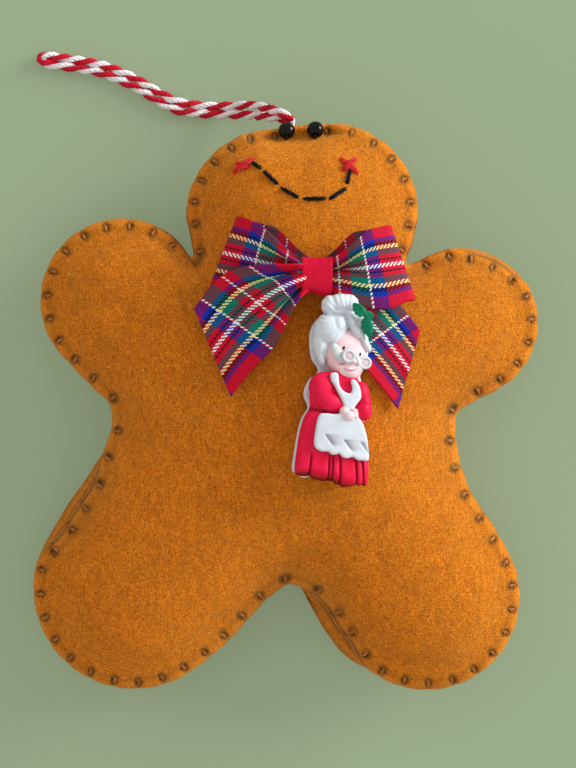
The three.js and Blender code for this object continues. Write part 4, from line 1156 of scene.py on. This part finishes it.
# The third colour of the white and of the red is their painted shade.
finish("charm_white", moulded, plastic_look(ink(215, 222, 232), ink(226, 232, 241), ink(106, 70, 84)))
finish("charm_red", moulded, plastic_look(ink(233, 11, 59), ink(247, 28, 81), ink(112, 0, 18)))
finish("charm_skin", moulded, plastic_look(ink(245, 206, 212), ink(252, 220, 226)))
finish("charm_green", moulded, plastic_look(ink(4, 112, 80), ink(18, 146, 104)))
finish("charm_wire", moulded, plastic_look(ink(212, 216, 222), ink(223, 227, 232)))
finish("charm_skin.pink", moulded, plastic_look(ink(186, 100, 102), ink(206, 122, 122)))
finish("charm_skin.pale", moulded, plastic_look(ink(224, 198, 204), ink(238, 214, 218)))

FIGURE = at_joint("charm") @ Matrix.Rotation(math.radians(-1.5), 4, "Z")
RELIEF = FIGURE @ Matrix(((1, 0, -0.105, 0), (0, 1, 0, 0), (0, 0, 1, 0), (0, 0, 0, 1)))


def ball(shape, centre, size, turn=0.0, segments=24):
    """A ball flattened to three half sizes, turned about w."""
    place = Matrix.Translation(centre) @ Matrix.Rotation(math.radians(turn), 4, "Z")
    place = place @ Matrix.Diagonal((*size, 1))
    bmesh.ops.create_uvsphere(shape, u_segments=segments, v_segments=segments // 2, radius=1, matrix=place)


def melted(shape, voxel, rounds):
    """Overlapping closed shapes joined into one skin of small squares, and smoothed."""
    made = squared(as_mesh("melted", shape), voxel, rounds)
    made.normal_update()
    return made


def lump(balls, voxel, rounds):
    """Flattened balls, each with its centre, half sizes and turn, melted into one form."""
    shape = bmesh.new()
    for centre, size, turn in balls:
        ball(shape, centre, size, turn)
    return melted(shape, voxel, rounds)


def plate(outline, low, high, round_off, voxel):
    """A plate with a smooth outline, of small squares, whose upper edge is rounded off."""
    rim, _ = even(flow(outline, 6, True), 420, True)
    shape = bmesh.new()
    floor = shape.faces.new([shape.verts.new((*p, low)) for p in rim])
    grown = bmesh.ops.extrude_face_region(shape, geom=[floor])["geom"]
    raised = [x for x in grown if isinstance(x, bmesh.types.BMVert)]
    bmesh.ops.translate(shape, vec=(0, 0, high - low), verts=raised)
    bmesh.ops.recalc_face_normals(shape, faces=shape.faces)
    bmesh.ops.triangulate(shape, faces=shape.faces)
    shape = melted(shape, voxel, 3)
    beside_rim = KDTree(len(rim))
    for n, p in enumerate(rim):
        beside_rim.insert((*p, 0), n)
    beside_rim.balance()
    for vert in shape.verts:
        short = 1 - min(1, beside_rim.find((vert.co.x, vert.co.y, 0))[2] / round_off)
        vert.co.z = min(vert.co.z, high - round_off * (1 - math.sqrt(1 - short * short)))
    return shape


def crown(u):
    """How far the figure's front stands out in its middle."""
    return 0.8 * (1 - ((u + 0.6) / 8) ** 2)


def groove(spot, a, b, wide):
    """How near a place is to a line from a to b: 1 on it, falling to 0."""
    a, b, spot = Vector(a), Vector(b), Vector((spot.x, spot.y))
    t = max(0, min(1, (spot - a).dot(b - a) / (b - a).length_squared))
    return math.exp(-(((spot - a.lerp(b, t)).length / wide) ** 2))


print("figure stands at", [round(x, 2) for x in FIGURE.translation])

# %% [markdown]
# The plug is a black turned button behind the figure: a wide flange that rests on the felt, a neck, and a
# head that the felt closes over. It is spun from its outline.

# %% Plug
PLUG = [(0, 1.9), (4.9, 1.9), (5.3, 1.75), (5.5, 1.4), (5.5, 0.75), (5.35, 0.4), (5, 0.3), (1.9, 0.3),
        (1.55, 0.1), (1.5, -0.3), (1.5, -2.2), (1.7, -2.45), (2.2, -2.55), (2.3, -2.8), (2.3, -3.8),
        (2.1, -4.05), (0, -4.1)]
piece("figure_plug", spun(PLUG, 56), "charm_black", "charm", "charm_plug", place=FIGURE)

# %% [markdown]
# The figure's flat back is a pale plate that shows as a rim on the left. The red dress on it is a thicker
# plate: its skirt falls in flat pleats, which are narrow grooves cut into the squares, with a step at each
# in the hem. The hem slopes under. Shade is painted into the pleat grooves, under the hem and along a line
# across the waist: an attribute marks it, and the finish darkens the red there.

# %% Back plate and dress
BACK_EDGE = [(0.6, 19.0), (-1.6, 18.7), (-2.7, 18), (-3, 17), (-2.7, 16.1), (-2.7, 15.6), (-3.4, 15.1),
             (-4.3, 14.1), (-5, 12.7), (-5.2, 11.3), (-5.1, 9.4), (-4.6, 7.2), (-3.4, 5.2), (-5.2, 3.4),
             (-6, 0.8), (-5.2, -1.5), (-6.3, -3.6), (-7, -6.5), (-7.5, -10), (-7.8, -12.9), (-7.2, -13.5),
             (-5.9, -14.3), (-5, -14.3), (-4, -13.8), (-2.9, -14.8), (-2.2, -14.8), (-1, -14.3), (5, -14.6),
             (5.8, -13.6), (6, -10), (5.1, -4.6), (6, -2.6), (6.1, -0.4), (5, 2.8), (4.4, 4.6), (5.5, 7),
             (5.8, 11), (4.6, 14.5), (3.4, 17.6)]
backing = plate(BACK_EDGE, 2.05, 3.5, 0.5, 0.22)
piece("figure_back", backing, "charm_white", "charm", "charm_backing", place=RELIEF)

PLEATS = [(-4.5, 0.85), (-1.08, 0.7), (-0.42, 0.7), (0.95, 0.75), (3.86, 0.75), (5.06, 0.7)]
DRESS = [(-4.8, -1.4), (-5.3, -2.4), (-5.95, -3.7), (-6.6, -6.2), (-7.05, -9.6), (-7.3, -12.3),
         (-7.05, -12.95), (-5.9, -13.15), (-4.75, -13.1), (-4.5, -12.95), (-4.1, -13.5), (-2.8, -13.8),
         (-1.4, -13.9), (-1.08, -13.6), (-0.75, -14), (-0.42, -13.8), (0.2, -14.4), (0.75, -14.5),
         (0.95, -14.3), (1.4, -14.95), (2.5, -15.15), (3.6, -15.2), (3.86, -14.9), (4.4, -15.25),
         (4.85, -15.2), (5.06, -14.95), (5.5, -15.25), (5.95, -15.05), (6.15, -13.6), (6.15, -11),
         (5.9, -8), (5.3, -5), (4.7, -2.6), (4.6, 0), (4.4, 2.4), (3.2, 4.6), (0.4, 5), (-2.3, 5),
         (-3.9, 4), (-4.8, 2.2), (-4.9, 0.4)]
dress = plate(DRESS, 3.6, 7, 1.1, 0.17)
dent_and_painted_shade = dress.verts.layers.float.new("dent_and_painted_shade")
for vert in dress.verts:
    u, v, w = vert.co
    front = smooth(w, 4, 6.3)
    fall = 1 - smooth(v, -11.4, -8.6)
    vert.co.z += front * (crown(u) + 0.5 * (1 - smooth(v, -14, -8)))
    vert.co.y -= (1 - 0.6 * smooth(u, 1, 4)) * (1 - smooth(w, 3.7, 6.1)) * (1 - smooth(v, -13.4, -11.8))
    shade = 0.9 * (1 - smooth(w, 4.4, 6.4)) * (1 - smooth(v, -13.1, -12.2))
    for start, end in (((-4.8, -1.7), (-2.2, -2.2)), ((-2.2, -2.2), (0.6, -2.3))):
        shade += 0.8 * groove(vert.co, start, end, 0.4)
    for line, deep in PLEATS:
        pleat = fall * smooth(w, 3.8, 5) * math.exp(-(((u - line * (1 - 0.02 * (v + 12))) / 0.17) ** 2))
        vert.co.z -= deep * pleat
        shade += 0.7 * pleat
    vert[dent_and_painted_shade] = min(1, shade)
piece("figure_dress", dress, "charm_red", "charm", "charm_dress", place=RELIEF)

# %% [markdown]
# The white apron lies on the dress: two straps, a bib and a short skirt with a wavy hem. Three folds in it
# are wedge-shaped hollows, steep on their left and running out to the right. Shade is painted into them: their
# depth is kept as an attribute, and the finish darkens the white there towards a dusky pink.

# %% Apron
APRON = [(-1.17, 4.76), (0.03, 4.81), (0.27, 3.56), (0.51, 2.48), (1.11, 1.69), (2.07, 1.23), (2.67, 1.45),
         (2.72, 2.48), (2.48, 3.51), (3.03, 3.8), (3.8, 3.03), (4.35, 1.76), (4.43, 0.44), (3.63, -0.76),
         (3.27, -1.36), (3.63, -2.68), (4.71, -3.84), (5.55, -6.05), (6, -8.45), (6.15, -10.13),
         (5.92, -10.85), (4.95, -10.86), (3.99, -10.78), (3.15, -10.25), (2.07, -10.54), (1.11, -10.18),
         (0.68, -9.75), (-0.57, -9.94), (-1.41, -9.41), (-2.74, -9.32), (-3.77, -8.57), (-3.94, -7.25),
         (-3.62, -4.61), (-3.17, -2.88), (-2.26, -2.49), (-0.09, -2.59), (1.11, -2.08), (1.3, -1.24),
         (0.87, -0.04), (0.15, 1.28), (-0.57, 2.6), (-1.17, 3.56)]
FOLDS = [(-2.13, -6.3, 1.4), (1.3, -7.15, 1.3), (4.35, -7.5, 0.8)]
apron = plate(APRON, 6.9, 8.0, 0.45, 0.15)
dent_and_painted_shade = apron.verts.layers.float.new("dent_and_painted_shade")
for vert in apron.verts:
    u, v, w = vert.co
    vert.co.z += crown(u) + 0.25 * (1 - smooth(v, -11, -7))
    for x, y, reach in FOLDS:
        right, below = u - x, y - v
        beyond = right - 0.75 * below
        wedge = smooth(below, -0.15, 0.3) * (1 - smooth(below, 1.5, 2.6))
        wedge *= smooth(beyond, -0.15, 0.2) * smooth(w, 7.2, 7.8)
        vert.co.z -= 0.45 * wedge * math.exp(-max(0, beyond) / reach)
        # Painted shade in the hollows, darkest near their steep left side.
        vert[dent_and_painted_shade] += 0.95 * wedge * math.exp(-max(0, beyond) / 0.6 / reach)
piece("figure_apron", apron, "charm_white", "charm", "charm_apron", place=RELIEF)

# %% [markdown]
# Puffed sleeves end in a pair of clasped hands over the waist. The left one is two balls, the upper arm and
# the forearm, and the crease is where they meet.

# %% Sleeves and hands
LEFT_SLEEVE = [((-2.6, 2.1, 6.8), (2.55, 2.85, 2.0), 10), ((-1.25, -0.35, 7.15), (2.65, 1.85, 1.95), -16),
               ((0.75, -1.05, 7.6), (0.75, 0.85, 1.0), -30)]
RIGHT_SLEEVE = [((4.75, 1.2, 6.7), (1.35, 2.4, 1.6), 14), ((5.3, -0.5, 6.8), (1.2, 1.6, 1.6), 0),
                ((5.1, -1.8, 6.9), (1.5, 1.95, 1.75), 0), ((4.05, -2.5, 7.3), (0.6, 0.9, 1.0), 15)]
for side, balls, voxel in (("left", LEFT_SLEEVE, 0.17), ("right", RIGHT_SLEEVE, 0.16)):
    sleeve = lump(balls, voxel, 2)
    piece("figure_sleeve_" + side, sleeve, "charm_red", "charm", f"charm_{side}_sleeve", place=RELIEF)

hands = bmesh.new()
ball(hands, (1.5, -2.05, 8.2), (1.0, 0.95, 0.9), -25)
ball(hands, (2.35, -2.8, 8.5), (1.15, 1.0, 0.85), -10)
for k in range(4):
    ball(hands, (3.2 + 0.08 * k, -1.75 - 0.38 * k, 8.6 - 0.05 * k), (0.72, 0.27, 0.55), -6 - 5 * k, 16)
piece("figure_hands", melted(hands, 0.12, 2), "charm_skin", "charm", "charm_hands", place=RELIEF)

# %% [markdown]
# The face is a plain doll's face: a round head with soft cheeks, a small nose, two painted eyes and a
# smile. The painted parts are thin raised shapes on the skin, so that they keep their edge close up.

# %% Face
HEAD = [((1.5, 8.7, 5.9), (3.9, 4.3, 2.5), 0), ((2.3, 5.4, 6.3), (2.3, 1.8, 2.0), 0),
        ((0.5, 6.5, 6.9), (1.5, 1.3, 1.3), 0), ((3.7, 5.9, 6.8), (1.2, 1.1, 1.2), 0)]
head = lump(HEAD, 0.17, 8)
ball(head, (3.0, 7.0, 8.3), (0.45, 0.5, 0.45), 0, 16)
head = melted(head, 0.14, 3)
face_skin = BVHTree.FromBMesh(head)


def on_face(u, v, lift=0.0):
    """A point on the front of the face."""
    hit = face_skin.ray_cast(Vector((u, v, 30)), Vector((0, 0, -1)))[0]
    return Vector((u, v, (hit.z if hit else 7.0) + lift))


piece("figure_face", head, "charm_skin", "charm", "charm_face", place=RELIEF)
eyes = bmesh.new()
for u, v in ((1.06, 9.38), (4.06, 8.3)):
    ball(eyes, on_face(u, v, -0.02), (0.22, 0.36, 0.16), -14, 16)
piece("figure_eyes", eyes, "charm_black", "charm", place=RELIEF)
SMILE = [
    [(1.1, 5.75), (1.8, 5.45), (2.55, 5.36), (3.2, 5.5), (3.6, 5.75)],
    [(0.15, 6.6), (0.8, 6.42), (1.45, 6.5)],
]
lips = []
for line in SMILE:
    smile = [on_face(*p) for p in flow(line, 5)]
    last = len(smile) - 1
    lips.append((smile, [0.03 + 0.08 * math.sin(math.pi * k / last) for k in range(last + 1)], 0))
piece("figure_smile", threads(lips, 2), "charm_skin.pink", "charm", place=RELIEF)

# %% [markdown]
# The hair is a big white lobe swept to the left of the parting and another down the right temple, a lock
# beside the cheek, and a broad bun on top. Each is a ball of its own. The parting, the foot of the bun and
# the fine comb lines are grooves cut into the melted shape.

# %% Hair
LOCKS = [
    ((-1.5, 17.1, 5.7), (1.75, 1.95, 1.9), 0), ((0.5, 17.55, 5.7), (2.6, 1.85, 2.1), 0),
    ((1.9, 17.35, 5.7), (1.95, 2, 2), 0), ((0.6, 15.6, 5.7), (3.1, 1.1, 2.0), 0),
    ((-1.4, 12.7, 6.3), (3.1, 3.2, 2.6), 5), ((4.1, 13.7, 5.9), (1.5, 2.3, 2.1), 30),
    ((0.1, 13.6, 6.4), (1.7, 2.2, 2.4), 0), ((-3.1, 10.2, 5.9), (1.6, 3.3, 2.1), 6),
    ((-3.05, 7.7, 6.2), (0.8, 1.7, 1.5), 12), ((2.6, 14.2, 6.1), (1.2, 1.9, 2.2), 20),
    ((3.6, 12.6, 6.3), (1.2, 2.3, 2.1), 38), ((5.0, 10.5, 6.0), (0.85, 2.1, 1.9), 28),
    ((0.6, 11, 4.8), (4.8, 5, 1.5), 0),
]
hair = lump(LOCKS, 0.16, 3)
for vert in hair.verts:
    u, v, w = vert.co
    angle = math.atan2(v - 14.6, u - 1.5)
    far = math.hypot(v - 14.6, u - 1.5)
    comb = 0.5 + 0.5 * math.cos(26 * angle + 0.6 * math.sin(1.3 * far) + noise.noise(vert.co * 0.8))
    dent_and_painted_shade = 0.1 * comb * smooth(far, 0.8, 2)
    dent_and_painted_shade += 0.35 * groove(vert.co, (1.2, 15.4), (1.75, 13.4), 0.26)
    dent_and_painted_shade += 0.45 * groove(vert.co, (-2.6, 15.6), (1.2, 15.5), 0.28)
    vert.co -= vert.normal * dent_and_painted_shade * smooth(w, 5, 6.2)
piece("figure_hair", hair, "charm_white", "charm", "charm_hair", place=RELIEF)

# %% [markdown]
# A sprig of holly is stuck in the hair: three leaves with a toothed edge and a midrib. Each leaf is a thin
# plate, subdivided and bent down along its sides.

# %% Holly
LEAVES = [(4.75, 15.2, 134, 3.2, 1.05), (4.8, 15.3, -76, 4.0, 1.1), (4.6, 15.1, 14, 1.8, 0.95)]
holly = bmesh.new()
for u, v, turn, length, wide in LEAVES:
    leaf = bmesh.new()
    teeth = []
    for k in range(13):
        t = k / 12
        tooth = 0.78 if k % 3 == 1 else 1
        teeth.append((length * t, wide * (math.sin(math.pi * t ** 0.9) ** 0.7 * tooth + 0.04)))
    rim = teeth + [(x, -y) for x, y in reversed(teeth)]
    leaf.faces.new([leaf.verts.new((x, y, 0)) for x, y in rim])
    bmesh.ops.triangulate(leaf, faces=leaf.faces)
    bmesh.ops.subdivide_edges(leaf, edges=leaf.edges, cuts=3, use_grid_fill=True)
    for vert in leaf.verts:
        x, y, _ = vert.co
        vert.co.z = 8.6 - 0.28 * y * y - 0.22 * math.exp(-((y / 0.16) ** 2)) - 0.05 * x * x
    bmesh.ops.solidify(leaf, geom=leaf.faces, thickness=0.6)
    bmesh.ops.recalc_face_normals(leaf, faces=leaf.faces)
    stalk = Matrix.Translation((u, v, 0)) @ Matrix.Rotation(math.radians(turn), 4, "Z")
    bmesh.ops.transform(leaf, matrix=stalk, verts=leaf.verts)
    copy = as_mesh("leaf", leaf)
    holly.from_mesh(copy)
    bpy.data.meshes.remove(copy)
piece("figure_holly", holly, "charm_green", "charm", "charm_holly", place=RELIEF)

# %% [markdown]
# The spectacles are two thick round rims with a pale disc in each for the glass. A broad piece at the left of
# each rim stands for the temple and the bridge.

# %% Spectacles
rims, discs = [], bmesh.new()
for u, v, size in ((1.95, 7.95, 0.98), (5.05, 6.85, 0.92)):
    centre = on_face(u, v, 0.5)
    ring = [centre + Vector((size * math.cos(a), size * math.sin(a), -0.12 * math.cos(a) * size))
            for a in [math.tau * k / 40 for k in range(41)]]
    rims.append((ring, 0.29, 0))
    ball(discs, centre - Vector((0, 0, 0.12)), (0.86 * size, 0.86 * size, 0.24), 0, 20)
spectacles = threads(rims, 2)
for (u, v), size, turn in (((-0.05, 8.5), (0.85, 1.95, 0.45), 30), ((3.6, 7.4), (0.5, 1.25, 0.4), 22)):
    ball(spectacles, on_face(u, v, 0.15), size, turn, 20)
piece("figure_spectacles", spectacles, "charm_wire", "charm", "charm_spectacles", place=RELIEF)
piece("figure_lenses", discs, "charm_skin.pale", "charm", place=RELIEF)

# %% [markdown]
# ## Table and light
#
# The ornament lies on a plain pale green table. One soft lamp stands to the upper right, so shadows fall to
# the lower left, and an even world fills them in.

# %% Table, lamp and world
def table_look(place, cloth):
    cloud = grains(place, 9, 2)
    colour = blended(cloud, ink(156, 174, 141), ink(162, 180, 147))
    seen = place.node("LightPath", {}, {}, "Is Camera Ray")
    return {"Base Color": shaded(colour, seen * -0.38 + 1), "Emission Color": shaded(colour, seen * 0.39)}


finish("table", {"Roughness": 0.9, "Specular IOR Level": 0.1, "Emission Strength": 1.0}, table_look)
top = bmesh.new()
bmesh.ops.create_grid(top, x_segments=8, y_segments=8, size=1.5)
table_mesh = as_mesh("table", top)
table_mesh.transform(Matrix.Translation((0, 0, -0.0002)))
table_mesh.materials.append(FINISH["table"])
table = bpy.data.objects.new("table", table_mesh)
scene.collection.objects.link(table)

lamp = bpy.data.lights.new("lamp", "AREA")
lamp.shape, lamp.size, lamp.energy, lamp.color = "DISK", 0.85, 25.9, (0.96, 1.05, 1.07)
lamp_stand = bpy.data.objects.new("lamp", lamp)
lamp_stand.location = (1.401, 0.652, 0.414)
lamp_stand.rotation_euler = (Vector((0, 0, 0.01)) - lamp_stand.location).to_track_quat("-Z", "Y").to_euler()
scene.collection.objects.link(lamp_stand)
scene.world = bpy.data.worlds.new("room")
scene.world.use_nodes = True
sky = scene.world.node_tree.nodes["Background"].inputs
sky["Color"].default_value, sky["Strength"].default_value = (1, 0.965, 0.9, 1), 0.66
scene.view_settings.view_transform = "Standard"
print("lamp", lamp.energy, "W")
